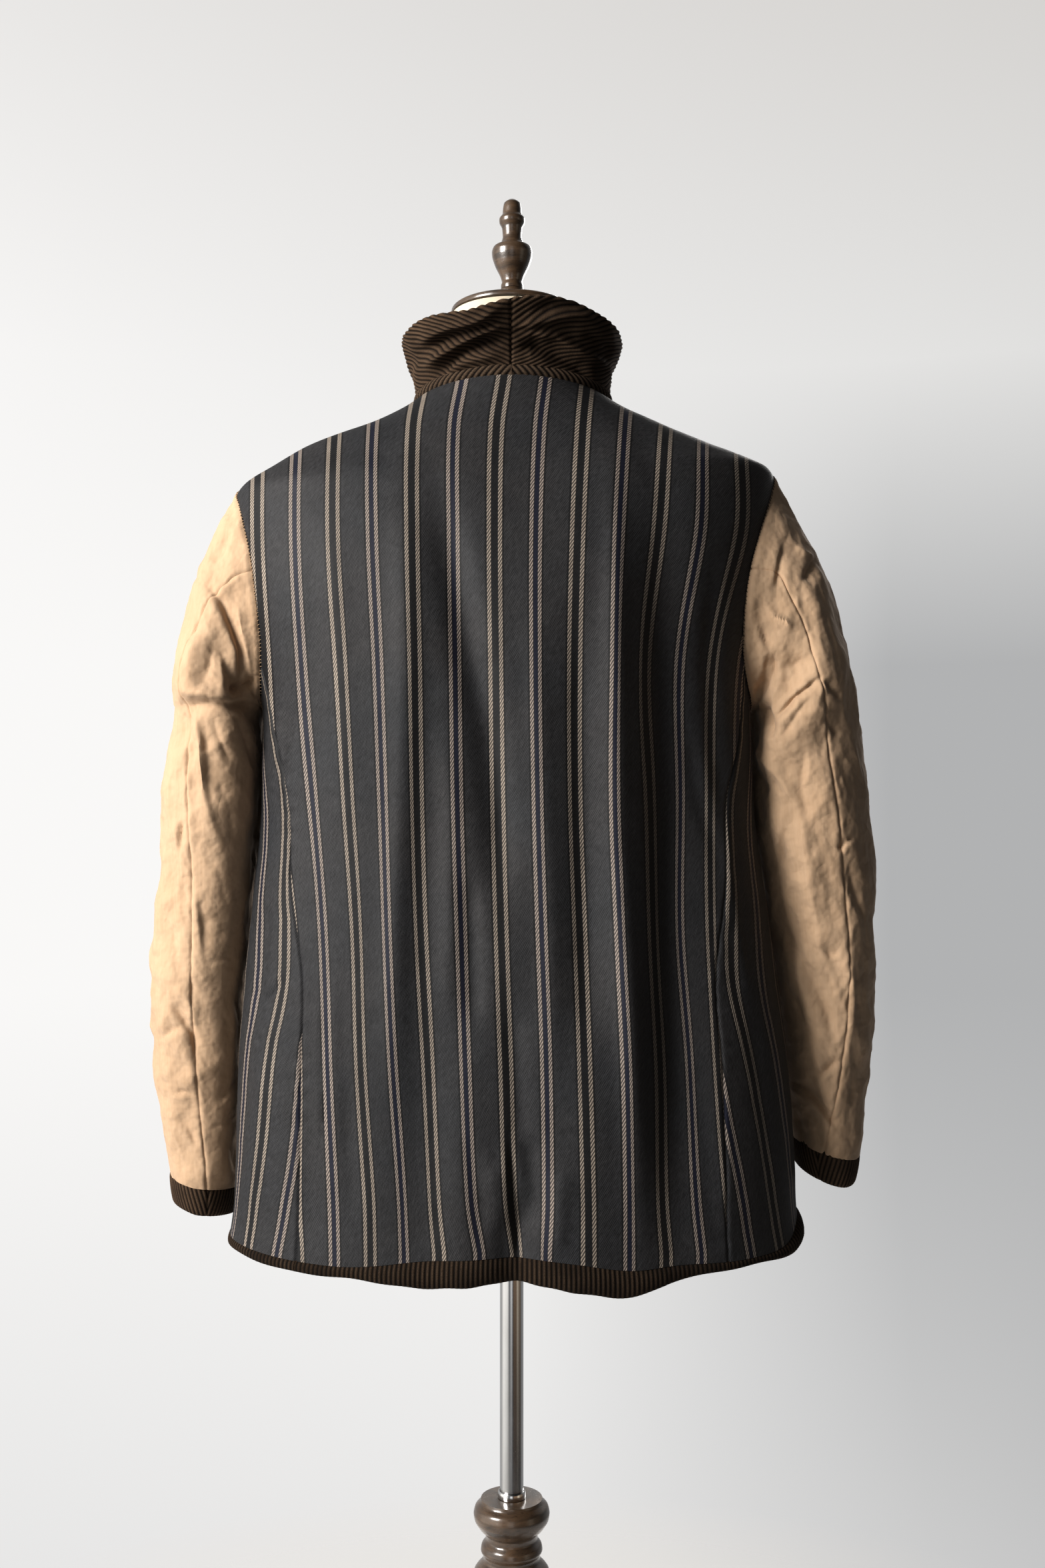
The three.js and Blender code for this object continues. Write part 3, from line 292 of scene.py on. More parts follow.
# The same on the sleeves and the collar.
LEFT_CREASES = [
    ([(326, 1100), (326, 1250), (326, 1450), (326, 1600), (328, 1740)], 26, 1.6),
    ([(392, 1080), (388, 1300), (376, 1500), (366, 1740)], 16, -2.0),
    ([(263, 1056), (289, 1052), (315, 1050), (346, 1055), (394, 1055)], 8, -1.4, -3.2),
    ([(300, 872), (318, 888), (334, 908), (350, 945), (360, 975), (364, 1030)], 8, -3.6, 1.8),
    ([(346, 792), (332, 815), (318, 846), (303, 878)], 10, -2.0, 1.6),
    ([(312, 800), (300, 830), (290, 870)], 12, 1.6),
    ([(355, 905), (366, 960), (378, 1010)], 8, 2.2),
    ([(393, 1012), (372, 1026), (352, 1034), (340, 1046)], 8, -3.4),
    ([(300, 938), (288, 1000), (280, 1046)], 13, 2.0),
    ([(318, 960), (312, 1000), (300, 1040)], 10, -1.8),
    ([(330, 980), (334, 1016), (330, 1044)], 7, 1.4),
    ([(291, 1066), (300, 1110), (308, 1189), (320, 1240), (334, 1282)], 6, 2.2, 1.2),
    ([(318, 1076), (330, 1110), (350, 1150)], 9, -1.8),
    ([(346, 1066), (366, 1110), (382, 1160)], 9, -1.8),
    ([(322, 1150), (338, 1210), (350, 1290)], 12, -1.4),
    ([(293, 1330), (299, 1380), (302, 1442)], 5, 1.8, 1.0),
    ([(273, 1226), (270, 1250), (265, 1282)], 4, -1.2, 0.8),
    ([(300, 1444), (322, 1440), (344, 1432)], 4, -1.0, 0.6),
    ([(312, 1280), (326, 1310), (336, 1360)], 8, -1.2),
    ([(289, 1450), (290, 1500), (297, 1540)], 5, -1.0, 0.6),
    ([(248, 1496), (270, 1522), (288, 1548), (295, 1590)], 7, -2.0, 0.8),
    ([(262, 1470), (284, 1500), (300, 1530)], 7, 1.4),
    ([(238, 1562), (256, 1548), (276, 1540)], 5, -1.2, 0.5),
    ([(321, 1656), (334, 1636), (353, 1616)], 5, -1.4, 0.8),
    ([(316, 1600), (330, 1580), (346, 1570)], 6, 1.2),
    ([(256, 1642), (276, 1638), (296, 1642)], 4, -1.0, 0.6),
    ([(310, 1692), (330, 1684), (352, 1672)], 4, -1.0, 0.6),
    ([(262, 1668), (282, 1690), (296, 1722)], 7, -1.4, 0.4),
    ([(318, 1506), (332, 1530), (338, 1570)], 6, -1.2),
    ([(346, 1478), (352, 1530), (350, 1590)], 8, -1.4),
    ([(250, 1380), (262, 1420), (268, 1470)], 9, -1.2),
    ([(276, 1560), (288, 1600), (290, 1650)], 7, 1.2),
    ([(330, 1700), (342, 1730), (350, 1764)], 7, -1.0),
]
RIGHT_CREASES = [
    ([(1142, 886), (1137, 910), (1139, 935), (1148, 962), (1160, 976)], 5, -2.6, 1.4),
    ([(1160, 974), (1156, 1005), (1142, 1030), (1126, 1052)], 8, -4.0),
    ([(1150, 905), (1162, 925), (1180, 932), (1192, 948)], 6, 1.8),
    ([(1178, 812), (1169, 840), (1166, 866), (1163, 888)], 6, -1.8, 0.9),
    ([(1192, 818), (1206, 830), (1222, 838)], 6, 1.4),
    ([(1226, 834), (1216, 852), (1202, 874)], 7, -1.6, 0.6),
    ([(1230, 1014), (1210, 1032), (1188, 1048), (1164, 1078)], 4.5, -2.2, 1.2),
    ([(1222, 994), (1202, 990), (1180, 998), (1160, 1010)], 7, -1.6),
    ([(1216, 1044), (1196, 1070), (1174, 1106)], 7, -1.8, 0.6),
    ([(1170, 1020), (1160, 1046), (1158, 1080)], 9, 2.4),
    ([(1128, 1060), (1146, 1066), (1160, 1090), (1164, 1112)], 8, -3.2),
    ([(1126, 1116), (1148, 1136), (1170, 1166), (1194, 1206)], 9, 2.6),
    ([(1118, 1130), (1134, 1160), (1150, 1200)], 10, -2.4),
    ([(1232, 1018), (1244, 1036), (1264, 1052)], 6, -1.8, 1.0),
    ([(1236, 1070), (1250, 1090), (1270, 1106)], 7, -1.2),
    ([(1270, 880), (1262, 930), (1266, 980)], 9, -1.2),
    ([(1190, 862), (1212, 886), (1234, 930)], 9, 1.2),
    ([(1206, 1130), (1200, 1180), (1214, 1240)], 10, -1.6),
    ([(1180, 1236), (1172, 1262), (1164, 1300)], 5, -1.4, 0.8),
    ([(1196, 1204), (1208, 1260), (1216, 1330), (1230, 1420)], 14, 2.6),
    ([(1152, 1372), (1180, 1410), (1214, 1468), (1240, 1520), (1254, 1570)], 13, -2.6, 0.8),
    ([(1176, 1470), (1200, 1520), (1224, 1570)], 10, -1.2),
    ([(1180, 1618), (1200, 1634), (1222, 1652), (1260, 1700)], 4.5, -2.0, 1.6),
    ([(1224, 1620), (1242, 1606), (1262, 1588)], 4.5, -1.6, 0.8),
    ([(1192, 1668), (1198, 1692), (1206, 1716)], 4, -1.0, 0.6),
    ([(1218, 1690), (1226, 1706), (1232, 1724)], 4, -0.9, 0.5),
    ([(1270, 1284), (1284, 1330), (1300, 1380), (1304, 1430)], 9, -1.6),
    ([(1258, 1280), (1270, 1264), (1284, 1256)], 4, -1.2, 0.7),
    ([(1272, 1430), (1280, 1500), (1278, 1560)], 8, 1.2),
    ([(1288, 1560), (1284, 1620), (1276, 1680)], 9, -1.2),
    ([(1236, 1426), (1248, 1436), (1262, 1430)], 3.5, -0.9, 0.5),
]
COLLAR_CREASES = [
    ([(616, 528), (636, 513), (677, 486), (725, 467), (764, 449)], 7, 2.6, -0.8),
    ([(630, 532), (668, 506), (712, 486), (760, 472)], 7.5, -2.6),
    ([(628, 560), (645, 547), (662, 534), (696, 513), (725, 496), (747, 490), (766, 491)], 7, 3.8, -1.2),
    ([(760, 491), (798, 488), (834, 479), (866, 474), (900, 482)], 6, 2.8, -0.6),
    ([(640, 574), (660, 553), (696, 528), (730, 514), (766, 512)], 8, -4.4),
    ([(668, 566), (682, 552), (716, 541), (738, 537), (766, 544)], 6.5, 2.4, -0.8),
    ([(776, 508), (798, 501), (834, 508), (866, 525), (895, 542), (926, 556)], 7.5, 4.2, -1.4),
    ([(762, 526), (798, 521), (834, 533), (871, 551), (900, 580)], 9, -5.0),
    ([(790, 470), (830, 462), (880, 466), (916, 488)], 8, -2.6),
    ([(872, 496), (900, 512), (928, 530)], 7, -2.2),
    ([(800, 552), (830, 560), (860, 580)], 7, 1.8),
    ([(606, 510), (612, 530), (626, 556)], 6, -1.8),
]
# How much higher the collar's top edge lies than the solid's, by angle.
COLLAR_TOP = np.array([
    [-180, 0], [-110, 0], [-60, 0], [-45, -2.0], [-32, -5.4], [-21, -7.6], [-11, -5.0], [0, -1.4],
    [9, 1.2], [20, 3.0], [40, 2.4], [60, 2.0], [80, 1.2], [110, 0], [180, 0],
])


# ---------------------------------------------------------------- sums

def cubic(t, span, first, second, first_slope, second_slope):
    t2 = t * t
    t3 = t2 * t
    return (
        (2 * t3 - 3 * t2 + 1) * first + (t3 - 2 * t2 + t) * span * first_slope
        + (3 * t2 - 2 * t3) * second + (t3 - t2) * span * second_slope
    )


def look(keys, values, at):
    """Smooth curve through the rows of a table."""
    keys = np.asarray(keys, float)
    values = np.asarray(values, float)
    at = np.asarray(at, float)
    single = values.ndim == 1
    if single:
        values = values[:, None]
    slope = np.empty_like(values)
    slope[1:-1] = (values[2:] - values[:-2]) / (keys[2:] - keys[:-2])[:, None]
    slope[0] = (values[1] - values[0]) / (keys[1] - keys[0])
    slope[-1] = (values[-1] - values[-2]) / (keys[-1] - keys[-2])
    i = np.clip(np.searchsorted(keys, at, side="left") - 1, 0, len(keys) - 2)
    span = (keys[i + 1] - keys[i])[..., None]
    t = np.clip((at - keys[i])[..., None] / span, 0, 1)
    found = cubic(t, span, values[i], values[i + 1], slope[i], slope[i + 1])
    return found[..., 0] if single else found


def same_shape(*values):
    return np.broadcast_arrays(*(np.asarray(value, float) for value in values))


def smooth_step(low, high, at):
    t = np.clip((np.asarray(at, float) - low) / (high - low), 0, 1)
    return t * t * (3 - 2 * t)


def bump(distance, width):
    return np.exp(-((distance / width) ** 2))


def unit(vectors):
    return vectors / np.maximum(np.linalg.norm(vectors, axis=-1, keepdims=True), 1e-9)


def raised(base, normal, height):
    return base + normal * height[..., None]


def normal_of(surface, u, v, du, dv):
    across = surface(u + du, v) - surface(u - du, v)
    up = surface(u, v + dv) - surface(u, v - dv)
    return unit(np.cross(across, up))


def seen(points):
    """Where points lie in the photograph's frame, in its pixels."""
    rel = points - CAMERA
    sine, cosine = math.sin(CAMERA_TILT), math.cos(CAMERA_TILT)
    depth = rel[..., 1] * cosine + rel[..., 2] * sine
    up = rel[..., 2] * cosine - rel[..., 1] * sine
    return (
        FRAME_WIDTH / 2 + FOCAL * rel[..., 0] / depth,
        FRAME_HEIGHT / 2 - FOCAL * up / depth,
    )


def crease_height(px, py, creases, peaked):
    """Sum of the ridges and troughs along lines in the frame's pixels."""
    total = np.zeros_like(px)
    for points, width, height, *tilt in creases:
        points = np.array(points, float)
        steps = np.diff(points, axis=0)
        lengths = np.hypot(steps[:, 0], steps[:, 1])
        best = np.full(px.shape, 1e9)
        across = np.zeros_like(px)
        along = np.zeros_like(px)
        done = 0.0
        for (x0, y0), (dx, dy), length in zip(points, steps, lengths):
            t = np.clip(((px - x0) * dx + (py - y0) * dy) / length ** 2, 0, 1)
            away = np.hypot(px - x0 - t * dx, py - y0 - t * dy)
            side = np.sign(dx * (py - y0) - dy * (px - x0))
            nearer = away < best
            best = np.where(nearer, away, best)
            across = np.where(nearer, side * away, across)
            along = np.where(nearer, done + t * length, along)
            done += length
        near = across / width
        fade = smooth_step(0, 0.28 * done, along) * smooth_step(0, 0.28 * done, done - along)
        fade = 0.12 + 0.88 * fade
        shape = np.exp(-np.abs(near) ** 1.35 * 1.1) if peaked else np.exp(-near ** 2)
        step = np.tanh(1.5 * near) * np.exp(-near ** 2 / 5)
        total += fade * (height * shape + sum(tilt) * step)
    return total


def waves(points, seed, count, low, high, stretch=(1, 1, 1)):
    """Smooth random relief in space, about -1 to 1, with waves from low to high mm long."""
    rng = np.random.default_rng(seed)
    total = np.zeros(points.shape[:-1])
    for _ in range(count):
        direction = unit(rng.normal(size=3)) * np.array(stretch)
        length = rng.uniform(low, high)
        bend = unit(rng.normal(size=3))
        shift = 1.6 * np.sin(points @ bend * (2 * math.pi / (length * 2.3)) + rng.uniform(0, 6.3))
        turn = points @ direction * (2 * math.pi / length) + rng.uniform(0, 6.3)
        total += np.sin(turn + shift)
    return total / math.sqrt(count)


def lowest(grid, reach=4):
    """The lowest value near each place of a grid."""
    for axis in (0, 1):
        size = grid.shape[axis]
        padding = [(reach, reach) if k == axis else (0, 0) for k in (0, 1)]
        padded = np.pad(grid, padding, mode="edge")
        shifts = [np.take(padded, range(k, k + size), axis) for k in range(2 * reach + 1)]
        grid = np.minimum.reduce(shifts)
    return grid


def arc_lengths(grid, axis):
    """Length along the rows or columns of a grid of points, from its start."""
    steps = np.linalg.norm(np.diff(grid, axis=axis), axis=-1)
    start = np.zeros_like(np.take(steps, [0], axis=axis))
    return np.concatenate([start, np.cumsum(steps, axis=axis)], axis=axis)


def edged(count, length, margins=(0.7, 1.5, 2.6, 4.2)):
    """Shares from 0 to 1, closer together at both ends, with a multiple of 4 steps."""
    near = np.array([0, *margins]) / length
    middle = np.linspace(near[-1], 1 - near[-1], count - 2 * len(margins) + 1)
    return np.concatenate([near[:-1], middle, 1 - near[:-1][::-1]])


# ---------------------------------------------------------------- surfaces

def ring_point(sides, heights, square, angle):
    left, right, back, front = sides
    z_left, z_right, z_back, z_front = heights
    turn = np.radians(angle)
    s = np.sin(turn)
    c = np.cos(turn)
    side = np.where(s < 0, left, right)
    depth = np.where(c > 0, back, front)
    r = (np.abs(s / side) ** square + np.abs(c / depth) ** square) ** (-1 / square)
    z = np.where(s < 0, z_left, z_right) * s * s + np.where(c > 0, z_back, z_front) * c * c
    return np.stack([r * s, -r * c, z], -1)


def row_at(table, at):
    """Columns of a table at places along its first column."""
    return np.moveaxis(look(table[:, 0], table[:, 1:], at), -1, 0)


def value_at(table, at, column=1):
    return look(table[:, 0], table[:, column], at)


def body_row(height):
    return row_at(BODY_RINGS, height)


def body_point(angle, height):
    angle, height = same_shape(angle, height)
    left, right, back, front, d_right, d_back, d_front, square = body_row(height)
    heights = (height, height + d_right, height + d_back, height + d_front)
    return ring_point((left, right, back, front), heights, square, angle)


def body_normal(angle, height):
    angle, height = same_shape(angle, height)
    return normal_of(body_point, angle, np.clip(height, 521, NECK - 0.6), 0.4, 0.5)


def solid_folds(points):
    x, y, z = np.moveaxis(points, -1, 0)
    total = np.zeros_like(x)
    for middle, low, high, lean, width, depth in BODY_FOLDS:
        along = (z - low) / (high - low)
        ends = smooth_step(-0.12, 0.2, along) * (1 - smooth_step(0.55, 1, along))
        total += depth * ends * bump(x - middle - lean * (along - 0.5), width)
    return np.where(y > 0, 0, total)


def body_relief(points, normals):
    """Folds of the worn cloth on top of the solids' own."""
    px, py = seen(points)
    behind = smooth_step(0.05, 0.5, -normals[..., 1])
    before = smooth_step(0.05, 0.5, normals[..., 1])
    total = behind * crease_height(px, py, BACK_FOLDS, False)
    total = total + before * crease_height(px, py, FRONT_FOLDS, False)
    calm = smooth_step(NECK + 4, NECK - 60, points[..., 2])
    total = total + 0.55 * calm * waves(points, 3, 9, 90, 190, (1, 1, 0.35))
    return total + 0.16 * calm * waves(points, 5, 9, 22, 46)


def body_surface(angle, height, lift=0.0):
    base = body_point(angle, height)
    normal = body_normal(angle, height)
    out = solid_folds(base) + body_relief(base, normal) + lift
    return base, normal, out


def armhole_height(turn):
    return ARMHOLE_MIDDLE + ARMHOLE_HALF * np.cos(np.radians(turn))


def angle_at_depth(height, side, y):
    left, right, back, front, _, _, _, square = body_row(np.asarray(height, float))
    half = left if side < 0 else right
    depth = np.where(np.asarray(y) < 0, back, front)
    x = half * (1 - np.abs(y / depth) ** square) ** (1 / square)
    return side * np.degrees(np.arctan2(x, -np.asarray(y, float)))


def armhole_angle(height, side, face):
    reach = np.clip((height - ARMHOLE_MIDDLE) / ARMHOLE_HALF, -1, 1)
    return angle_at_depth(height, side, face * ARMHOLE_DEPTH * np.sqrt(1 - reach * reach))


def back_edge(height, side):
    seam = side * value_at(SIDE_SEAM, height)
    hole = armhole_angle(height, side, -1)
    return np.where(height < SEAM_TOP, seam, np.where(height < SHOULDER_TIP, hole, side * 90.0))


def hem_height(angle, column):
    turned = np.where(angle > 180, angle - 360, np.where(angle < -180, angle + 360, angle))
    return value_at(HEM_LINE, turned, column)


def drop_to_hem(angle, height):
    share = np.clip(1 - (height - HEM) / 110, 0, 1)
    return height + (hem_height(angle, 1) - HEM) * share


SKIRT_ROWS = 181       # rows of the panels' meshes from the hem to the seams' top


def panel_heights():
    skirt = np.linspace(HEM, SEAM_TOP, SKIRT_ROWS)
    hole = armhole_height(np.linspace(SEAM_TURN, 0, 53))[1:]
    shoulder = np.linspace(SHOULDER_TIP, NECK, 57)[1:]
    return np.concatenate([skirt, hole, shoulder])


# ---------------------------------------------------------------- meshes

def new_object(name, vertices, faces, materials, uv=None, indexes=None, sharp=50):
    """Mesh in metres from points in mm; uv is in mm as well and is kept in metres."""
    mesh = bpy.data.meshes.new(name)
    mesh.from_pydata([], [], [])
    sizes = np.array([len(face) for face in faces], np.int32)
    loops = np.fromiter((i for face in faces for i in face), np.int32, int(sizes.sum()))
    mesh.vertices.add(len(vertices))
    mesh.vertices.foreach_set("co", (np.asarray(vertices, float) * MM).astype(np.float32).ravel())
    mesh.loops.add(len(loops))
    mesh.loops.foreach_set("vertex_index", loops)
    mesh.polygons.add(len(sizes))
    starts = np.concatenate([[0], np.cumsum(sizes)[:-1]]).astype(np.int32)
    mesh.polygons.foreach_set("loop_start", starts)
    for material in materials:
        mesh.materials.append(material)
    if indexes is not None:
        mesh.polygons.foreach_set("material_index", np.asarray(indexes, np.int32))
    mesh.polygons.foreach_set("use_smooth", np.ones(len(sizes), bool))
    if uv is not None:
        layer = mesh.uv_layers.new(name="cloth")
        layer.data.foreach_set("uv", (np.asarray(uv) * MM).astype(np.float32)[loops].ravel())
    mesh.update(calc_edges=True)
    mesh.validate()
    mesh.set_sharp_from_angle(angle=math.radians(sharp))
    piece = bpy.data.objects.new(name, mesh)
    bpy.context.scene.collection.objects.link(piece)
    return piece


def wall(name, outer, inner, uv, materials, cells=None, step=4):
    """Closed shell: a fine outer face, a coarser inner face and the edges between them."""
    rows, columns = outer.shape[:2]
    if cells is None:
        cells = np.ones((rows - 1, columns - 1), bool)
    number = np.arange(rows * columns).reshape(rows, columns)
    r, c = np.nonzero(cells)
    fine = np.stack([number[r, c], number[r, c + 1], number[r + 1, c + 1], number[r + 1, c]], -1)
    few = number[::step, ::step] + rows * columns
    few_cells = cells[::step, ::step]
    r, c = np.nonzero(few_cells)
    rough = np.stack([few[r, c], few[r + 1, c], few[r + 1, c + 1], few[r, c + 1]], -1)
    faces = fine.tolist() + rough.tolist()
    indexes = [0] * len(fine) + [1] * len(rough)
    padded = np.pad(few_cells, 1)
    for i, j in zip(r, c):
        top, left, low, right = i * step + step, j * step, i * step, j * step + step
        sides = []
        if not padded[i, j + 1]:
            sides.append((number[low, left:right + 1], few[i, j], few[i, j + 1]))
        if not padded[i + 2, j + 1]:
            sides.append((number[top, left:right + 1][::-1], few[i + 1, j + 1], few[i + 1, j]))
        if not padded[i + 1, j]:
            sides.append((number[low:top + 1, left][::-1], few[i + 1, j], few[i, j]))
        if not padded[i + 1, j + 2]:
            sides.append((number[low:top + 1, right], few[i, j + 1], few[i + 1, j + 1]))
        for chain, start, end in sides:
            faces.append([*chain[::-1].tolist(), int(start), int(end)])
            indexes.append(0)
    vertices = np.concatenate([outer.reshape(-1, 3), inner.reshape(-1, 3)])
    spread = np.concatenate([uv.reshape(-1, 2), uv.reshape(-1, 2)])
    used = np.unique(np.fromiter((i for face in faces for i in face), np.int64))
    place = np.full(len(vertices), -1)
    place[used] = np.arange(len(used))
    faces = [[int(place[i]) for i in face] for face in faces]
    return new_object(name, vertices[used], faces, materials, spread[used], indexes)


def rings_to_quads(count, size):
    """Quads between rings of points, each ring closed on itself."""
    number = np.arange(count * size).reshape(count, size)
    follow = np.roll(number, -1, axis=1)
    quads = np.stack([number[:-1], follow[:-1], follow[1:], number[1:]], -1).reshape(-1, 4)
    return number, quads


def loft(name, sections, uv, materials, closed, sharp=50):
    """Closed body through sections, an array of section x place x 3."""
    count, size = sections.shape[:2]
    flat = sections.reshape(-1, 3)
    number, quads = rings_to_quads(count + 1 if closed else count, size)
    quads = quads % (count * size)
    faces = quads.tolist()
    if not closed:
        faces.append(number[0].tolist()[::-1])
        faces.append(number[-1].tolist())
    volume = 0.0
    for k in (1, 2):
        p, q, s = flat[quads[:, 0]], flat[quads[:, k]], flat[quads[:, k + 1]]
        volume += float((p * np.cross(q, s)).sum())
    if volume < 0:
        faces = [face[::-1] for face in faces]
    return new_object(name, flat, faces, materials, uv.reshape(-1, 2), None, sharp)


def lathe(name, profile, material, facets=72, cuts=(0.14, 0.25), solid=True):
    """Turned piece from (radius, height) points, with its corners cut to soft ones."""
    points = np.array(profile, float)
    for cut in cuts:
        first, last = points[:1], points[-1:]
        a = points[:-1] * (1 - cut) + points[1:] * cut
        b = points[:-1] * cut + points[1:] * (1 - cut)
        points = np.concatenate([first, np.stack([a, b], 1).reshape(-1, 2), last])
    turn = np.linspace(0, 2 * math.pi, facets, endpoint=False)
    grid = np.stack([
        points[:, :1] * np.cos(turn), points[:, :1] * np.sin(turn),
        np.repeat(points[:, 1:], facets, 1),
    ], -1)
    count = len(points)
    number, quads = rings_to_quads(count, facets)
    faces = quads.tolist()
    if solid:
        faces.append(number[0].tolist()[::-1])
        faces.append(number[-1].tolist())
    else:
        follow = np.roll(number, -1, axis=1)
        faces += np.stack([number[-1], follow[-1], follow[0], number[0]], -1).tolist()
    uv = np.stack([np.repeat(turn[None] * 20, count, 0), grid[..., 2]], -1)
    return new_object(name, grid.reshape(-1, 3), faces, [material], uv.reshape(-1, 2), sharp=38)


THREAD_SIDES = 6
THREAD_STEPS = (0, 0.22, 0.5, 0.78, 1.0)
THREAD_RISE = (-0.6, 0.55, 1.0, 0.55, -0.6)


def stitches(name, starts, ends, normals, radius, material, lift=0.4):
    """Short threads from starts to ends, bowed out of the cloth."""
    along = ends - starts
    across = unit(np.cross(along, normals))
    vertices = []
    faces = []
    for k in range(len(starts)):
        base = len(vertices)
        for step, high in zip(THREAD_STEPS, THREAD_RISE):
            middle = starts[k] + along[k] * step + normals[k] * (high * lift)
            for j in range(THREAD_SIDES):
                a = 2 * math.pi * j / THREAD_SIDES
                vertices.append(middle + radius * (math.cos(a) * across[k] + math.sin(a) * normals[k]))
        for low in range(base, len(vertices) - THREAD_SIDES, THREAD_SIDES):
            high = low + THREAD_SIDES
            for j in range(THREAD_SIDES):
                m = (j + 1) % THREAD_SIDES
                faces.append([high + j, high + m, low + m, low + j])
        faces.append([base + j for j in range(THREAD_SIDES)])
        faces.append([high + j for j in range(THREAD_SIDES)][::-1])
    vertices = np.array(vertices)
    return new_object(name, vertices, faces, [material], vertices[:, [0, 2]])


# ---------------------------------------------------------------- materials

class Number:
    """A number that varies over a surface, so that shader sums read as arithmetic."""

    def __init__(self, paint, socket):
        self.paint = paint
        self.socket = socket

    def __add__(self, other):
        return self.paint.math("ADD", self, other)

    def __sub__(self, other):
        return self.paint.math("SUBTRACT", self, other)

    def __mul__(self, other):
        return self.paint.math("MULTIPLY", self, other)

    def __rsub__(self, other):
        return self.paint.math("SUBTRACT", other, self)

    __radd__ = __add__
    __rmul__ = __mul__

    def sine(self):
        return self.paint.math("SINE", self)

    def swing(self, length, shift=0.0):
        """Waves of a length between 0 and 1."""
        return (self * (2 * math.pi / length) + shift).sine() * 0.5 + 0.5

    def cosine(self):
        return self.paint.math("COSINE", self)

    def size(self):
        return self.paint.math("ABSOLUTE", self)

    def power(self, other):
        return self.paint.math("POWER", self, other)

    def ramp(self, low, high):
        """0 below low and 1 above high, straight in between."""
        node = self.paint.nodes.new("ShaderNodeMapRange")
        node.clamp = True
        self.paint.link(self, node.inputs["Value"])
        node.inputs["From Min"].default_value = low
        node.inputs["From Max"].default_value = high
        return Number(self.paint, node.outputs["Result"])


class Paint:
    """A material being put together."""

    def __init__(self, name, roughness, **settings):
        self.material = bpy.data.materials.new(name)
        self.material.use_nodes = True
        self.nodes = self.material.node_tree.nodes
        self.links = self.material.node_tree.links
        self.shader = self.nodes["Principled BSDF"]
        self.shader.inputs["Roughness"].default_value = roughness
        for key, value in settings.items():
            self.shader.inputs[key.replace("_", " ")].default_value = value

    def link(self, value, socket):
        if isinstance(value, Number):
            self.links.new(value.socket, socket)
        else:
            socket.default_value = value

    def math(self, operation, *values):
        node = self.nodes.new("ShaderNodeMath")
        node.operation = operation
        for value, socket in zip(values, node.inputs):
            self.link(value, socket)
        return Number(self, node.outputs[0])

    def cloth(self):
        """Places across and along the cloth in mm."""
        node = self.nodes.new("ShaderNodeUVMap")
        node.uv_map = "cloth"
        parts = self.nodes.new("ShaderNodeSeparateXYZ")
        self.links.new(node.outputs["UV"], parts.inputs[0])
        return Number(self, parts.outputs[0]) * 1000.0, Number(self, parts.outputs[1]) * 1000.0

    def noise(self, scale, detail=3.0, stretch=(1, 1, 1), distortion=0.0):
        """Cloudy pattern in space, scale in waves a metre."""
        where = self.nodes.new("ShaderNodeTexCoord")
        place = self.nodes.new("ShaderNodeMapping")
        place.inputs["Scale"].default_value = stretch
        self.links.new(where.outputs["Object"], place.inputs["Vector"])
        node = self.nodes.new("ShaderNodeTexNoise")
        node.inputs["Scale"].default_value = scale
        node.inputs["Detail"].default_value = detail
        node.inputs["Distortion"].default_value = distortion
        self.links.new(place.outputs[0], node.inputs["Vector"])
        return Number(self, node.outputs[0])

    def streaks(self, across, along, width, length):
        """Uneven lines, about so many mm wide and long."""
        place = self.nodes.new("ShaderNodeCombineXYZ")
        self.link(across * (1 / width), place.inputs[0])
        self.link(along * (1 / length), place.inputs[1])
        node = self.nodes.new("ShaderNodeTexNoise")
        node.noise_dimensions = "2D"
        node.inputs["Scale"].default_value = 1.0
        node.inputs["Detail"].default_value = 1.0
        self.links.new(place.outputs[0], node.inputs["Vector"])
        return Number(self, node.outputs[0])

    def mix(self, share, first, second):
        node = self.nodes.new("ShaderNodeMix")
        node.data_type = "RGBA"
        self.link(share, node.inputs[0])
        for value, socket in ((first, node.inputs[6]), (second, node.inputs[7])):
            if isinstance(value, Number):
                self.links.new(value.socket, socket)
            else:
                socket.default_value = (*value, 1.0)
        return Number(self, node.outputs[2])

    def relief(self, height, distance, strength=1.0, under=None):
        """Bump, stacked on an earlier one."""
        node = self.nodes.new("ShaderNodeBump")
        node.inputs["Strength"].default_value = strength
        node.inputs["Distance"].default_value = distance
        self.link(height, node.inputs["Height"])
        if under is not None:
            self.links.new(under.outputs[0], node.inputs["Normal"])
        return node

    def done(self, color=None, roughness=None, normal=None):
        if color is not None:
            self.link(color, self.shader.inputs["Base Color"])
        if roughness is not None:
            self.link(roughness, self.shader.inputs["Roughness"])
        if normal is not None:
            self.links.new(normal.outputs[0], self.shader.inputs["Normal"])
        return self.material


TWILL_SLOPE = 1.75


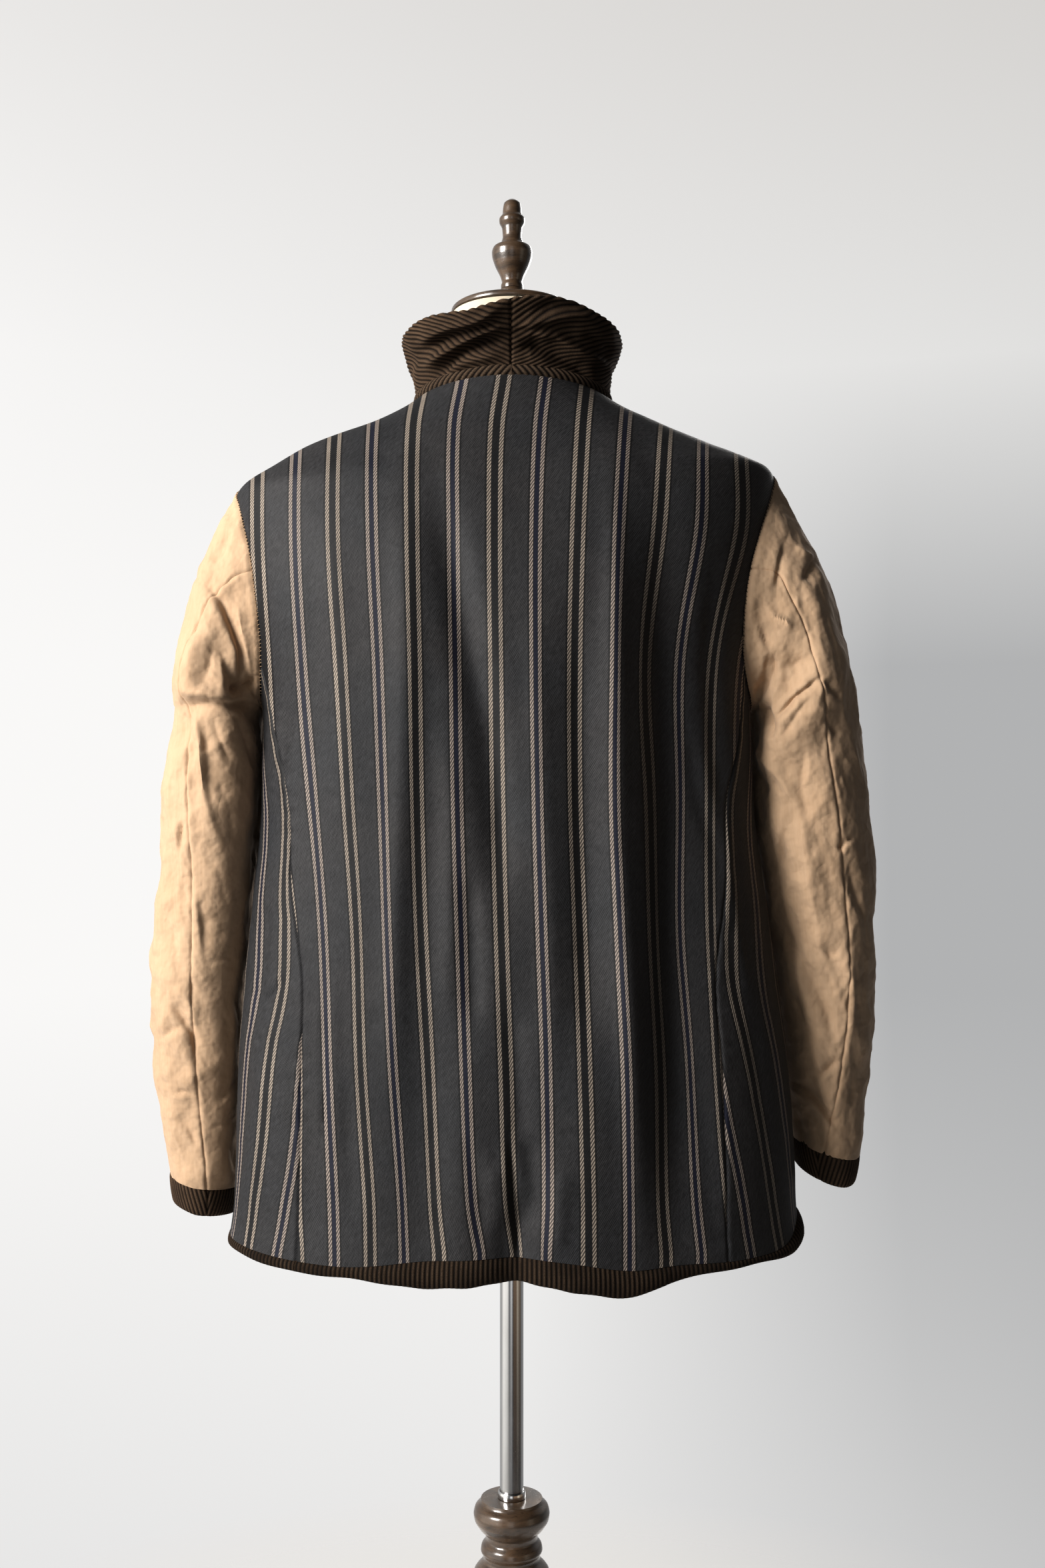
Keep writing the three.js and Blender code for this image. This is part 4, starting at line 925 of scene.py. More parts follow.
def striped_lining():
    """Charcoal twill with pairs of pale dashed stripes, every other pair round a navy line."""
    paint = Paint("striped_lining", 0.62, Specular_IOR_Level=0.3)
    u, v = paint.cloth()
    pair = u * (1 / STRIPE_PITCH)
    number = paint.math("ROUND", pair)
    aside = ((pair - number) * STRIPE_PITCH).size()
    odd = paint.math("MODULO", number.size(), 2.0)
    half = 4.5 - odd * 0.95
    width = 1.7 - odd * 0.12
    from_stripe = (aside - half).size()
    stripe = (width - from_stripe).ramp(-0.12, 0.2)
    slant = v - u * TWILL_SLOPE
    wobble = paint.noise(260.0, 2.0) * 1.6
    dash = ((slant * (2 * math.pi / 3.5)) + wobble).sine().ramp(-0.5, 0.45)
    middle = from_stripe.ramp(0.06, 0.3) * 0.3 + 0.7
    dashes = (dash * 0.84 + 0.16) * middle * stripe
    rib = slant.swing(2.55, wobble)
    plain = (aside - (half + width + 1.5)).ramp(-0.5, 0.3)
    fleck = paint.noise(2600.0, 2.0).ramp(0.3, 0.72)
    yarn = paint.streaks(slant, u * 0.5 + v * 0.87, 1.5, 6.0).ramp(0.3, 0.7)
    heavy = paint.streaks(slant, u * 0.5 + v * 0.87, 4.0, 16.0).ramp(0.3, 0.7)
    twill = rib.ramp(0.15, 0.85) * 0.5 + yarn * 0.42 + fleck * 0.25
    twill = twill * (heavy * 0.22 + 0.8) * (plain * 0.7 + 0.3)
    cloud = paint.noise(14.0, 4.0).ramp(0.35, 0.7)
    pale = paint.mix(cloud, (0.062, 0.060, 0.062), (0.052, 0.054, 0.059))
    ground = paint.mix(twill, (0.0028, 0.0029, 0.0034), pale)
    navy = (half - width - 0.2 - aside).ramp(-0.1, 0.4) * odd * 0.5
    ground = paint.mix(navy, ground, (0.013, 0.016, 0.042))
    worn = paint.noise(38.0, 3.0).ramp(0.2, 0.85)
    tan = paint.mix(worn, (0.34, 0.285, 0.235), (0.49, 0.42, 0.35))
    tan = paint.mix(odd * 0.55, tan, (0.40, 0.335, 0.305))
    color = paint.mix(dashes, ground, tan)
    first = paint.relief(dashes * 1.0 + twill * 0.55, 0.00022, 0.8)
    second = paint.relief(paint.noise(900.0, 2.0), 0.00012, 0.5, first)
    return paint.done(color, None, second)


def sleeve_lining():
    """Ecru cotton, closely woven, soft and creased."""
    paint = Paint("sleeve_lining", 0.86, Specular_IOR_Level=0.25, Sheen_Weight=0.15,
                  Sheen_Roughness=0.5)
    u, v = paint.cloth()
    weft = v.swing(0.62)
    warp = u.swing(0.62)
    weave = weft * 0.5 + warp * 0.5
    slub = paint.noise(420.0, 2.0, (1, 1, 0.12)).ramp(0.3, 0.7)
    cloud = paint.noise(9.0, 5.0, distortion=0.6).ramp(0.3, 0.72)
    stain = paint.noise(30.0, 4.0).ramp(0.5, 0.78)
    base = paint.mix(cloud, (0.54, 0.378, 0.246), (0.655, 0.468, 0.312))
    base = paint.mix(stain * 0.35, base, (0.50, 0.335, 0.205))
    base = paint.mix(weave * 0.22, base, (0.47, 0.32, 0.205))
    color = paint.mix(slub * 0.14, base, (0.80, 0.62, 0.45))
    crumple = paint.relief(paint.noise(62.0, 2.0), 0.006, 0.6)
    crinkle = paint.relief((paint.noise(34.0, 1.0) - 0.5).size(), 0.006, 0.5, crumple)
    fine = paint.relief(weave + slub * 0.6, 0.00012, 0.6, crinkle)
    return paint.done(color, None, fine)


def corduroy(name, crest_wear_and_highlight, tone):
    """Dark brown pile in ribs, with painted shade in the grooves between the ribs, and paler along their
    crests from wear and a painted highlight.
    """
    paint = Paint(name, 0.9, Specular_IOR_Level=0.16)
    u, v = paint.cloth()
    rib = (u * (math.pi / RIB_PITCH)).cosine().size()
    tuft = v.swing(1.1, paint.noise(300.0, 2.0) * 5.0)
    pile = paint.noise(1500.0, 3.0).ramp(0.25, 0.8)
    patch = paint.noise(26.0, 4.0).ramp(0.35, 0.75)
    # Share of the crests' colour; the rest, down in the grooves, is painted shade.
    crest_out_of_groove_shade = rib.ramp(0.1, 0.9) * (pile * 0.5 + tuft * 0.2 + 0.35)
    # Near-black colour of the grooves between the ribs: painted shade.
    low = tuple(tone * value for value in (0.0035, 0.0026, 0.002))
    dark = tuple(tone * value for value in (0.034, 0.0215, 0.0135))
    brown = paint.mix(patch, dark, tuple(tone * value for value in (0.066, 0.042, 0.026)))
    color = paint.mix(crest_out_of_groove_shade, low, brown)
    # Paler crests: partly wear, and partly a painted highlight along the crests.
    worn = rib.ramp(0.82 - crest_wear_and_highlight * 0.4, 1.0) * (patch + crest_wear_and_highlight) * pile * 0.55
    color = paint.mix(worn, color, (0.20, 0.145, 0.10))
    first = paint.relief(rib, 0.0007, 0.5)
    second = paint.relief(pile + tuft * 0.5, 0.0003, 0.6, first)
    return paint.done(color, None, second)


def form_cloth():
    """Cream linen stretched over the form."""
    paint = Paint("form_cloth", 0.88, Specular_IOR_Level=0.25)
    u, v = paint.cloth()
    weave = (u * (2 * math.pi / 0.9)).sine() * 0.5 + (v * (2 * math.pi / 0.9)).sine() * 0.5
    cloud = paint.noise(12.0, 4.0).ramp(0.3, 0.7)
    base = paint.mix(cloud, (0.72, 0.63, 0.49), (0.80, 0.72, 0.58))
    color = paint.mix(weave.ramp(-1, 1) * 0.2, base, (0.55, 0.46, 0.34))
    return paint.done(color, None, paint.relief(weave, 0.00015, 0.6))


def dark_wood():
    """Dark stained turned wood under a worn gloss varnish."""
    paint = Paint("dark_wood", 0.3, Specular_IOR_Level=0.6, Coat_Weight=0.9, Coat_Roughness=0.16)
    grain = paint.noise(46.0, 7.0, (1, 1, 5.0), 0.5)
    pore = paint.noise(260.0, 2.0, (1, 1, 5.0)).ramp(0.58, 0.75)
    figure = paint.noise(38.0, 5.0, (1, 1, 2.2), 0.8).ramp(0.4, 0.7)
    base = paint.mix(grain.ramp(0.3, 0.7), (0.034, 0.022, 0.014), (0.125, 0.080, 0.048))
    base = paint.mix(figure * 0.4, base, (0.15, 0.088, 0.046))
    color = paint.mix(pore * 0.6, base, (0.008, 0.004, 0.003))
    rough = paint.noise(40.0, 4.0).ramp(0.3, 0.8) * 0.22 + 0.2
    return paint.done(color, rough, paint.relief(grain - pore * 0.4, 0.0004, 0.35))


def chrome():
    """Polished tube with faint smears and fine lines."""
    paint = Paint("chrome", 0.12, Metallic=1.0)
    smear = paint.noise(30.0, 4.0, (1, 1, 0.3))
    fine = paint.noise(900.0, 2.0, (1, 1, 8))
    color = paint.mix(smear.ramp(0.3, 0.7), (0.62, 0.61, 0.60), (0.78, 0.78, 0.78))
    return paint.done(color, smear * 0.16 + fine * 0.05 + 0.03, paint.relief(fine, 0.00005, 0.2))


def thread(name, dark, light):
    paint = Paint(name, 0.8, Specular_IOR_Level=0.3)
    twist = paint.noise(2500.0, 2.0).ramp(0.3, 0.7)
    return paint.done(paint.mix(twist, dark, light), None, paint.relief(twist, 0.0001, 0.6))


LINING = striped_lining()
SLEEVE = sleeve_lining()
CORD = corduroy("corduroy", 0.0, 1.15)
COLLAR_CORD = corduroy("collar_corduroy", 0.15, 2.5)
CUFF_CORD = corduroy("cuff_corduroy", 0.3, 2.8)
WORN_CORD = corduroy("worn_corduroy", 1.0, 1.6)
FORM = form_cloth()
WOOD = dark_wood()
CHROME = chrome()
TAN_THREAD = thread("tan_thread", (0.36, 0.25, 0.15), (0.55, 0.41, 0.27))
DARK_THREAD = thread("dark_thread", (0.012, 0.011, 0.012), (0.035, 0.03, 0.03))


def finish_piece(piece, slot, nodes=(), flat=None, area=None, held="hung", rests_on=("dress_form",)):
    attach(piece, "root")
    if nodes:
        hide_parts(*nodes)


# ---------------------------------------------------------------- the body's panels

SEAM_DIP = 0.9         # how far a seam lies below the cloth beside it


def seam_dip(distance, along, seed):
    """Dip and puckers beside a seam, at a distance from it."""
    rng = np.random.default_rng(seed)
    phase = rng.uniform(0, 6.3, 3)
    beat = np.sin(along / 3.1 + phase[0] + 1.3 * np.sin(along / 17 + phase[1]))
    beat = beat * (0.5 + 0.5 * np.sin(along / 41 + phase[2]))
    pucker = 0.42 * beat * np.exp(-((distance - 3.2) / 4.5) ** 2)
    return -SEAM_DIP * np.exp(-((distance / 1.15) ** 2)) + 0.35 * bump(distance - 3.4, 2.4) + pucker


OUTER_PITCH = 56.0     # pixels between pairs of stripes past the outermost known ones


def stripe_places(points):
    """Place across the back's cloth, in mm, that puts the stripes where they are seen."""
    px, py = seen(points)
    rows = []
    for _, first, places in STRIPE_ROWS:
        number = np.arange(first, first + len(places))
        inner = np.interp(px, places, number)
        inner = np.where(px < places[0], first - (places[0] - px) / OUTER_PITCH, inner)
        inner = np.where(px > places[-1], number[-1] + (px - places[-1]) / OUTER_PITCH, inner)
        rows.append(inner)
    rows = np.stack(rows)
    keys = np.array([row[0] for row in STRIPE_ROWS], float)
    at = np.clip(py, keys[0], keys[-1])
    i = np.clip(np.searchsorted(keys, at) - 1, 0, len(keys) - 2)
    before = np.clip(i - 1, 0, len(keys) - 1)
    after = np.clip(i + 2, 0, len(keys) - 1)
    span = keys[i + 1] - keys[i]
    v0, v1, v2, v3 = (np.take_along_axis(rows, k[None], 0)[0] for k in (before, i, i + 1, after))
    slopes = (v2 - v0) / (keys[i + 1] - keys[before]), (v3 - v1) / (keys[after] - keys[i])
    return (cubic((at - keys[i]) / span, span, v1, v2, *slopes) + 20) * STRIPE_PITCH


def make_back():
    heights = panel_heights()
    shares = edged(160, 470)
    height = heights[:, None]
    angle = back_edge(height, -1) * (1 - shares) + back_edge(height, 1) * shares
    height = drop_to_hem(angle, height * np.ones_like(angle))
    base, normal, out = body_surface(angle, height)
    outer = raised(base, normal, out)
    across = arc_lengths(outer, 1)
    along = arc_lengths(outer, 0)
    total = across[:, -1:]
    out = out + seam_dip(across, outer[..., 2], 11) + seam_dip(total - across, outer[..., 2], 12)
    outer = raised(base, normal, out)
    uv = np.stack([stripe_places(outer), along], -1)
    inner = raised(base, normal, lowest(out) - CLOTH)
    piece = wall("back_lining", outer, inner, uv, [LINING, CORD])
    finish_piece(piece, "striped_lining", ["back"], (0.54, 0.735), 0.305)


def front_end(height, side):
    front = body_row(height)[3]
    return side * (180 + np.degrees(np.arctan2(OVERLAP, front)))


def front_lift(angle, height, side):
    if side > 0:
        return np.zeros_like(angle)
    x = np.tan(np.radians(180 - np.abs(angle))) * body_row(height)[3]
    lift = OVERLAP_LIFT * (1 - smooth_step(OVERLAP + 8, OVERLAP + 44, x))
    return np.where(np.abs(angle) < 120, 0, lift)


STRIPE_BLUR = range(-45, 46, 9)   # heights averaged where the fronts' stripes bend


def make_front(word, side):
    meet = abs(float(armhole_angle(np.array(SEAM_TOP), side, 1)))
    heights = panel_heights()
    turns = SEAM_TURN + (360 - 2 * SEAM_TURN) * edged(48, 130)
    y = -ARMHOLE_DEPTH * np.sin(np.radians(turns))
    top = np.abs(angle_at_depth(armhole_height(turns), side, y))
    climb = np.linspace(0, 1, SKIRT_ROWS)[:, None]
    start = np.abs(back_edge(heights[:SKIRT_ROWS], side))[:, None]
    share = ((top - top[0]) / (top[-1] - top[0]))[None]
    low_angle = start + (meet - start) * share
    low_height = HEM + (armhole_height(turns)[None] - HEM) * climb
    chest = edged(72, 230)
    begin = np.where(
        heights < SEAM_TOP, meet,
        np.where(heights < SHOULDER_TIP, np.abs(armhole_angle(heights, side, 1)), 90.0),
    )[:, None]
    end = np.abs(front_end(heights, side))[:, None]
    chest_angle = begin + (end - begin) * chest[None]
    chest_height = heights[:, None] * np.ones_like(chest_angle)
    rows = len(heights)
    columns = len(turns) - 1 + len(chest)
    angle = np.zeros((rows, columns))
    height = np.full((rows, columns), SEAM_TOP)
    angle[:, len(turns) - 1:] = chest_angle
    height[:, len(turns) - 1:] = chest_height
    angle[:SKIRT_ROWS, :len(turns)] = low_angle
    height[:SKIRT_ROWS, :len(turns)] = low_height
    angle[SKIRT_ROWS:, :len(turns) - 1] = meet
    cells = np.ones((rows - 1, columns - 1), bool)
    cells[SKIRT_ROWS - 1:, :len(turns) - 1] = False
    angle = side * angle
    height = drop_to_hem(angle, height)
    base, normal, out = body_surface(angle, height, front_lift(angle, height, side))
    outer = raised(base, normal, out)
    across = arc_lengths(outer, 1)
    along = arc_lengths(outer, 0)
    at_seam = np.where(np.arange(rows)[:, None] < SKIRT_ROWS, across, 99)
    out = out + seam_dip(at_seam, outer[..., 2], 11 if side < 0 else 12)
    outer = raised(base, normal, out)
    table = FRONT_STRIPE_LEFT if side < 0 else FRONT_STRIPE_RIGHT
    shift = np.mean([np.interp(outer[..., 2] + step, *table.T) for step in STRIPE_BLUR], axis=0)
    to_end = across[:, -1:] - across
    tip = int(np.argmax(heights >= SHOULDER_TIP - 0.5))
    reach = side * outer[tip, len(turns) - 1:, 0]
    upright = np.interp(side * outer[..., 0], reach[::-1], to_end[tip, len(turns) - 1:][::-1])
    to_end = np.where(np.arange(rows)[:, None] > tip, upright, to_end)
    whole = (across[:, -1:] - shift)[SKIRT_ROWS // 2, 0]
    share = smooth_step(0.45, 1.0, np.arange(columns) / (len(turns) - 1))[None]
    measured = (across - shift) * (1 - share) + (whole - to_end) * share
    uv = np.stack([measured * side + 40 * STRIPE_PITCH, along], -1)
    inner = raised(base, normal, lowest(out) - CLOTH)
    if side < 0:
        outer, inner, uv, cells = (grid[:, ::-1] for grid in (outer, inner, uv, cells))
    piece = wall(f"front_lining_{word}", outer, inner, uv, [LINING, CORD], cells)
    finish_piece(piece, "striped_lining", [f"front_{word}"], (0.42, 0.72), 0.25)


make_back()
make_front("left", -1)
make_front("right", 1)


# ---------------------------------------------------------------- hem

def ribs(place, size=0.62, pitch=RIB_PITCH):
    return size * (np.abs(np.cos(math.pi * place / pitch)) - 0.62)


def make_ribbed(name, node, rows, material, closed, flat, **held):
    """Corduroy piece lofted through rows of points, each with its places across and along."""
    sections = np.stack([points for points, _, _ in rows], 1)
    uv = np.stack([np.stack(np.broadcast_arrays(across, along), -1) for _, across, along in rows], 1)
    finish_piece(loft(name, sections, uv, [material], closed, sharp=80), "corduroy", [node], flat, **held)


# How far down the hem, how far out and how strongly ribbed, from its sewn edge round its lower
# edge and back up its inner face.
HEM_PROFILE = [
    (-0.25, -1.4, 0.0), (-0.06, -0.9, 0.2), (0.06, -0.1, 0.7), (0.2, 0.9, 1.0), (0.36, 1.45, 1.0),
    (0.54, 1.5, 1.0), (0.7, 1.2, 1.0), (0.84, 0.5, 1.0), (0.94, -0.5, 1.0), (1.0, -1.8, 0.9),
    (0.96, -3.1, 0.6), (0.86, -3.7, 0.4), (0.6, -3.8, 0.3), (0.2, -3.8, 0.2), (-0.25, -3.4, 0.0),
]
HEM_STEP = 0.62        # mm between the points along the hem
HEM_DEGREE = 4.1       # mm of hem a degree of angle


def make_hem(name, node, start, end, flat):
    columns = 2 * int(round(abs(end - start) * HEM_DEGREE / 2 / HEM_STEP / 2))
    angle = np.linspace(start, end, columns + 1)
    edge = np.full_like(angle, HEM)
    lining = hem_height(angle, 1)
    bottom = hem_height(angle, 2)
    swell = np.clip((lining - bottom) / 12, 0.5, 1.5)
    curl = bump(angle - 91, 14)
    fade = 1 - 0.7 * smooth_step(120, 155, np.abs(angle))
    wave = 0.6 * np.sin(angle / 2.1) + 0.5 * np.sin(angle / 5.3 + 1)
    place = arc_lengths(body_point(angle, edge)[None], 1)[0]
    lift = front_lift(angle, edge, -1) if start < -100 else 0
    rows = []
    for down, out, rib in HEM_PROFILE:
        z = lining + (bottom - lining) * down + 0.6 * wave * max(down, 0)
        base, normal, relief = body_surface(angle, z, lift)
        push = out * np.where(out > 0, swell * fade + 1.2 * curl, 1.0) + ribs(place) * rib
        rows.append((raised(raised(base, normal, relief), normal, push), place, z))
    make_ribbed(name, node, rows, CORD, False, flat, rests_on=("back_lining",))


hem_seam = float(back_edge(np.array(HEM), 1))
left_end, right_end = (float(front_end(np.array(HEM), side)) for side in (-1, 1))
make_hem("hem_corduroy_back", "hem_back", -hem_seam, hem_seam, (0.46, 0.019))
make_hem("hem_corduroy_left", "hem_front_left", left_end, -hem_seam, (0.40, 0.017))
make_hem("hem_corduroy_right", "hem_front_right", hem_seam, right_end, (0.40, 0.021))


# ---------------------------------------------------------------- sleeves

def rounded(value):
    return np.sign(value) * np.abs(value) ** 0.92


def tube_point(table, side, angle, ring):
    angle, ring = same_shape(angle, ring)
    at = np.clip(ring, 0, len(table) - 1)
    out_x, out_z, in_x, in_z, depth, y = np.moveaxis(look(np.arange(len(table)), table, at), -1, 0)
    turn = np.radians(angle)
    reach = rounded(np.cos(turn)) / 2
    x = (out_x + in_x) / 2 + (out_x - in_x) * reach
    z = (out_z + in_z) / 2 + (out_z - in_z) * reach
    behind = np.maximum(np.sin(turn), 0)
    drop = 6.5 * behind + 1.5 if side > 0 else -7.0 - 3.0 * behind - 5.0 * np.maximum(np.cos(turn), 0)
    z = z - drop * smooth_step(10.5, 14, at)
    return np.stack([side * x, y - depth * rounded(np.sin(turn)), z], -1)


def armhole_place(side, turn):
    height = armhole_height(turn)
    return angle_at_depth(height, side, -ARMHOLE_DEPTH * np.sin(np.radians(turn))), height


def armhole_frame(side, turn):
    """Point of the armhole's edge, its direction into the opening, along it and out of the cloth."""
    angle, height = armhole_place(side, turn)
    point = body_point(angle, height)
    normal = body_normal(angle, height)
    along = unit(body_point(*armhole_place(side, turn + 1)) - body_point(*armhole_place(side, turn - 1)))
    into = unit(np.cross(normal, along))
    middle = np.stack([point[..., 0], np.zeros_like(point[..., 1]),
                       np.full_like(point[..., 2], ARMHOLE_MIDDLE)], -1)
    sign = np.sign((into * (middle - point)).sum(-1, keepdims=True))
    relief = solid_folds(point) + body_relief(point, normal)
    return point + normal * relief[..., None], into * sign, along, normal


RELIEF_LIMIT = 10.0    # of the sleeves' creases, either way
SLEEVE_AXIS = 262.0    # how far out the middle of a sleeve hangs
HEAD_OVERLAP = 2.2     # how far the sleeve's folded edge lies over the body's lining
HEAD_LIFT = 1.1


def sleeve_surface(table, side):
    def surface(angle, ring):
        point = tube_point(table, side, angle, ring)
        share = np.clip(1 - ring, 0, 1)[..., None] ** 2
        edge, into, _, normal = armhole_frame(side, angle)
        head = edge - into * HEAD_OVERLAP + normal * HEAD_LIFT
        return point + (head - tube_point(table, side, angle, np.zeros_like(ring))) * share
    return surface


def sleeve_base(table, side, angle, ring):
    surface = sleeve_surface(table, side)
    normal = normal_of(surface, angle, np.clip(ring, 0.06, 14.94), 0.5, 0.05) * side
    return surface(angle, ring), normal


def sleeve_relief(side, folds, creases, angle, ring, base, normal):
    """Height of the sleeve's cloth over its plain tube: the solid's folds and the finer creases."""
    depth = np.zeros_like(ring)
    for at, row, across, along, high in folds:
        turn = (angle - at + 540) % 360 - 180
        depth = depth + high * bump(turn, across) * bump(ring - row, along)
    px, py = seen(base)
    axis = FRAME_WIDTH / 2 + FOCAL * (side * SLEEVE_AXIS - CAMERA[0]) / -CAMERA[1]
    behind = smooth_step(-0.3, 0.3, -normal[..., 1])
    relief = behind * crease_height(px, py, creases, True)
    relief = relief + (1 - behind) * crease_height(2 * axis - px, py + 46, creases, True)
    relief = 2.0 * relief + 0.8 * waves(base, 21 + side, 10, 34, 80)
    relief = relief - 1.7 * (np.abs(waves(base, 25 + side, 5, 40, 80, (1, 1, 0.7))) - 0.7)
    relief = relief - 0.8 * (np.abs(waves(base, 27 + side, 5, 18, 40)) - 0.7)
    relief = relief + 0.12 * waves(base, 31 + side, 12, 6, 14)
    if side < 0:
        relief = relief + 8.0 * bump(angle % 360 - 122, 30) * smooth_step(4.5, 7, ring)
    relief = RELIEF_LIMIT * np.tanh(relief / RELIEF_LIMIT)
    hold = smooth_step(0.0, 1.0, ring) * smooth_step(14.2, 13.2, ring)
    return depth + relief * (0.25 + 0.75 * hold)


def ring_steps(table, count, start, end):
    """Places down a sleeve that are about as far apart as each other."""
    fine = np.linspace(start, end, 400)
    path = look(np.arange(len(table)), table[:, :2], fine)
    length = arc_lengths(path, 0)
    return np.interp(np.linspace(0, length[-1], count + 1), length, fine)


def make_sleeve_piece(part, word, rings, start, end, flat, area):
    """Half of a sleeve between two seams, whose angles are given for each ring."""
    table, side, folds, creases, _ = SLEEVES[word]
    shares = edged(104, 190)
    ring = rings[:, None] * np.ones_like(shares)
    angle = start[:, None] * (1 - shares) + end[:, None] * shares
    base, normal = sleeve_base(table, side, angle, ring)
    out = sleeve_relief(side, folds, creases, angle, ring, base, normal)
    outer = raised(base, normal, out)
    across = arc_lengths(outer, 1)
    along = arc_lengths(outer, 0)
    total = across[:, -1:]
    dip = seam_dip(across, along, 21) + seam_dip(total - across, along, 22)
    edge = -0.8 * bump(along, 1.2) + 0.5 * bump(along - 3.4, 1.8)
    beat = 0.35 * np.sin(across / 3.1 * math.pi * 2 / 2.1) * bump(along - 2.2, 3.0)
    out = out + dip + edge + beat
    outer = raised(base, normal, out)
    uv = np.stack([across - total / 2, along], -1)
    inner = raised(base, normal, lowest(out) - SLEEVE_CLOTH)
    if side > 0:
        outer, inner, uv = (grid[:, ::-1] for grid in (outer, inner, uv))
    piece = wall(f"{part}_sleeve_lining_{word}", outer, inner, uv, [SLEEVE, CORD])
    finish_piece(piece, "sleeve_lining", [f"{part}_sleeve_{word}"], flat, area)


# How far down the sleeve's rings, how far out and how strongly ribbed, as for the hem.
CUFF_PROFILE = [
    (13.86, -1.0, 0.1), (13.93, -0.5, 0.4), (14.0, 0.15, 0.8), (14.08, 0.5, 1.0),
    (14.2, 0.7, 1.0), (14.34, 0.8, 1.0), (14.48, 0.8, 1.0), (14.62, 0.7, 1.0),
    (14.76, 0.5, 1.0), (14.88, 0.2, 1.0), (14.96, -0.6, 1.0), (15.0, -1.8, 0.8),
    (14.97, -3.0, 0.6), (14.88, -3.7, 0.5), (14.6, -3.8, 0.4), (14.2, -3.8, 0.3), (13.86, -3.6, 0.1),
]
CUFF_COLUMNS = 440
CUFF_DEPTH = 25.0      # mm from the cuff's seam to its edge
CUFF_SLANT = 0.28      # how far the ribs lean away from the elbow's seam


def make_cuff(word, table, side, seam_angle):
    angle = np.linspace(0, 360, CUFF_COLUMNS, endpoint=False)
    middle, _ = sleeve_base(table, side, angle, np.full(CUFF_COLUMNS, 14.5))
    place = arc_lengths(np.concatenate([middle, middle[:1]]), 0)
    whole = place[-1]
    pitch = whole / round(whole / RIB_PITCH)
    place = place[:-1]
    apart = np.abs((place - np.interp(seam_angle, angle, place) + whole / 2) % whole - whole / 2)
    tuck = -0.9 * bump(apart, 1.3)
    swing = 0.3 * np.sin(np.radians(angle) * 5 + side)
    rows = []
    for row, out, rib in CUFF_PROFILE:
        base, normal = sleeve_base(table, side, angle, np.full(CUFF_COLUMNS, row))
        down = (row - 14) * CUFF_DEPTH
        slanted = apart + down * CUFF_SLANT
        push = out + ribs(slanted, pitch=pitch) * rib + tuck + swing
        rows.append((raised(base, normal, push), slanted * (RIB_PITCH / pitch), down))
    make_ribbed(f"cuff_corduroy_{word}", f"cuff_{word}", rows, CUFF_CORD, True, (0.27, 0.029),
                rests_on=(f"under_sleeve_lining_{word}",))


SLEEVES = {
    "left": (LEFT_SLEEVE, -1, LEFT_SLEEVE_FOLDS, LEFT_CREASES, LEFT_ELBOW_SEAM),
    "right": (RIGHT_SLEEVE, 1, RIGHT_SLEEVE_FOLDS, RIGHT_CREASES, RIGHT_ELBOW_SEAM),
}


def make_sleeve(word):
    table, side, _, _, seam = SLEEVES[word]
    rings = ring_steps(table, 316, 0, 14)
    elbow = value_at(seam, rings)
    front = np.full_like(rings, FRONT_SLEEVE_SEAM)
    make_sleeve_piece("under", word, rings, elbow, front, (0.20, 0.60), 0.085)
    make_sleeve_piece("top", word, rings, front - 360, elbow, (0.22, 0.66), 0.107)
    make_cuff(word, table, side, value_at(seam, np.array(15.0)) % 360)


def make_armhole_stitches(word, material, count=150):
    """Whip stitches that hold the sleeve's folded edge down on the body's lining."""
    side = SLEEVES[word][1]
    rng = np.random.default_rng(41 + side)
    fine = np.linspace(0, 360, 1441)
    length = arc_lengths(armhole_frame(side, fine)[0], 0)
    turn = np.interp(np.linspace(0, length[-1], count, endpoint=False), length, fine)
    turn = turn + rng.uniform(-0.35, 0.35, count)
    edge, into, along, normal = armhole_frame(side, turn)
    lean = rng.uniform(1.0, 2.0, count)[:, None]
    reach = rng.uniform(0.7, 1.2, count)[:, None]
    starts = edge - into * (HEAD_OVERLAP + 0.9) + normal * 0.15 - along * lean * 0.5
    ends = edge - into * (HEAD_OVERLAP - 1.5 * reach) + normal * (HEAD_LIFT + 0.15) + along * lean * 0.5
    piece = stitches(f"armhole_stitches_{word}", starts, ends, normal, 0.26, material)
    finish_piece(piece, "sleeve_lining")


for side_word in SLEEVES:
    make_sleeve(side_word)
make_armhole_stitches("left", TAN_THREAD)
make_armhole_stitches("right", DARK_THREAD)


# ---------------------------------------------------------------- neck band and collar

def collar_point(angle, rise):
    angle, rise = same_shape(angle, rise)
    left, right, back, front, z_back, z_side, z_front = row_at(COLLAR_RINGS, rise)
    heights = (z_side, z_side, z_back, z_front)
    return ring_point((left, right, back, front), heights, COLLAR_SQUARE, angle)


def collar_surface(angle, rise):
    base = collar_point(angle, rise)
    normal = normal_of(collar_point, angle, np.clip(rise, 0.02, 0.98), 0.4, 0.02)
    depth = np.zeros_like(rise)
    for at, row, across, along, high in COLLAR_FOLDS:
        depth = depth + high * bump(angle - at, across) * bump(rise - row, along)
    px, py = seen(base)
    behind = smooth_step(0.0, 0.4, -normal[..., 1])
    before = smooth_step(0.0, 0.4, normal[..., 1])
    depth = depth + 1.5 * behind * crease_height(px, py, COLLAR_CREASES, False)
    depth = depth + 0.7 * before * crease_height(px, py, COLLAR_CREASES, False)
    depth = depth + 0.7 * waves(base, 51, 8, 28, 60) + 0.25 * waves(base, 52, 8, 12, 24)
    depth = depth + 2.6 * smooth_step(0.35, 1, rise) * np.abs(np.sin(np.radians(angle))) ** 1.5
    point = base + normal * depth[..., None]
    point[..., 2] += value_at(COLLAR_TOP, angle) * smooth_step(0.35, 1.0, rise)
    return point, normal


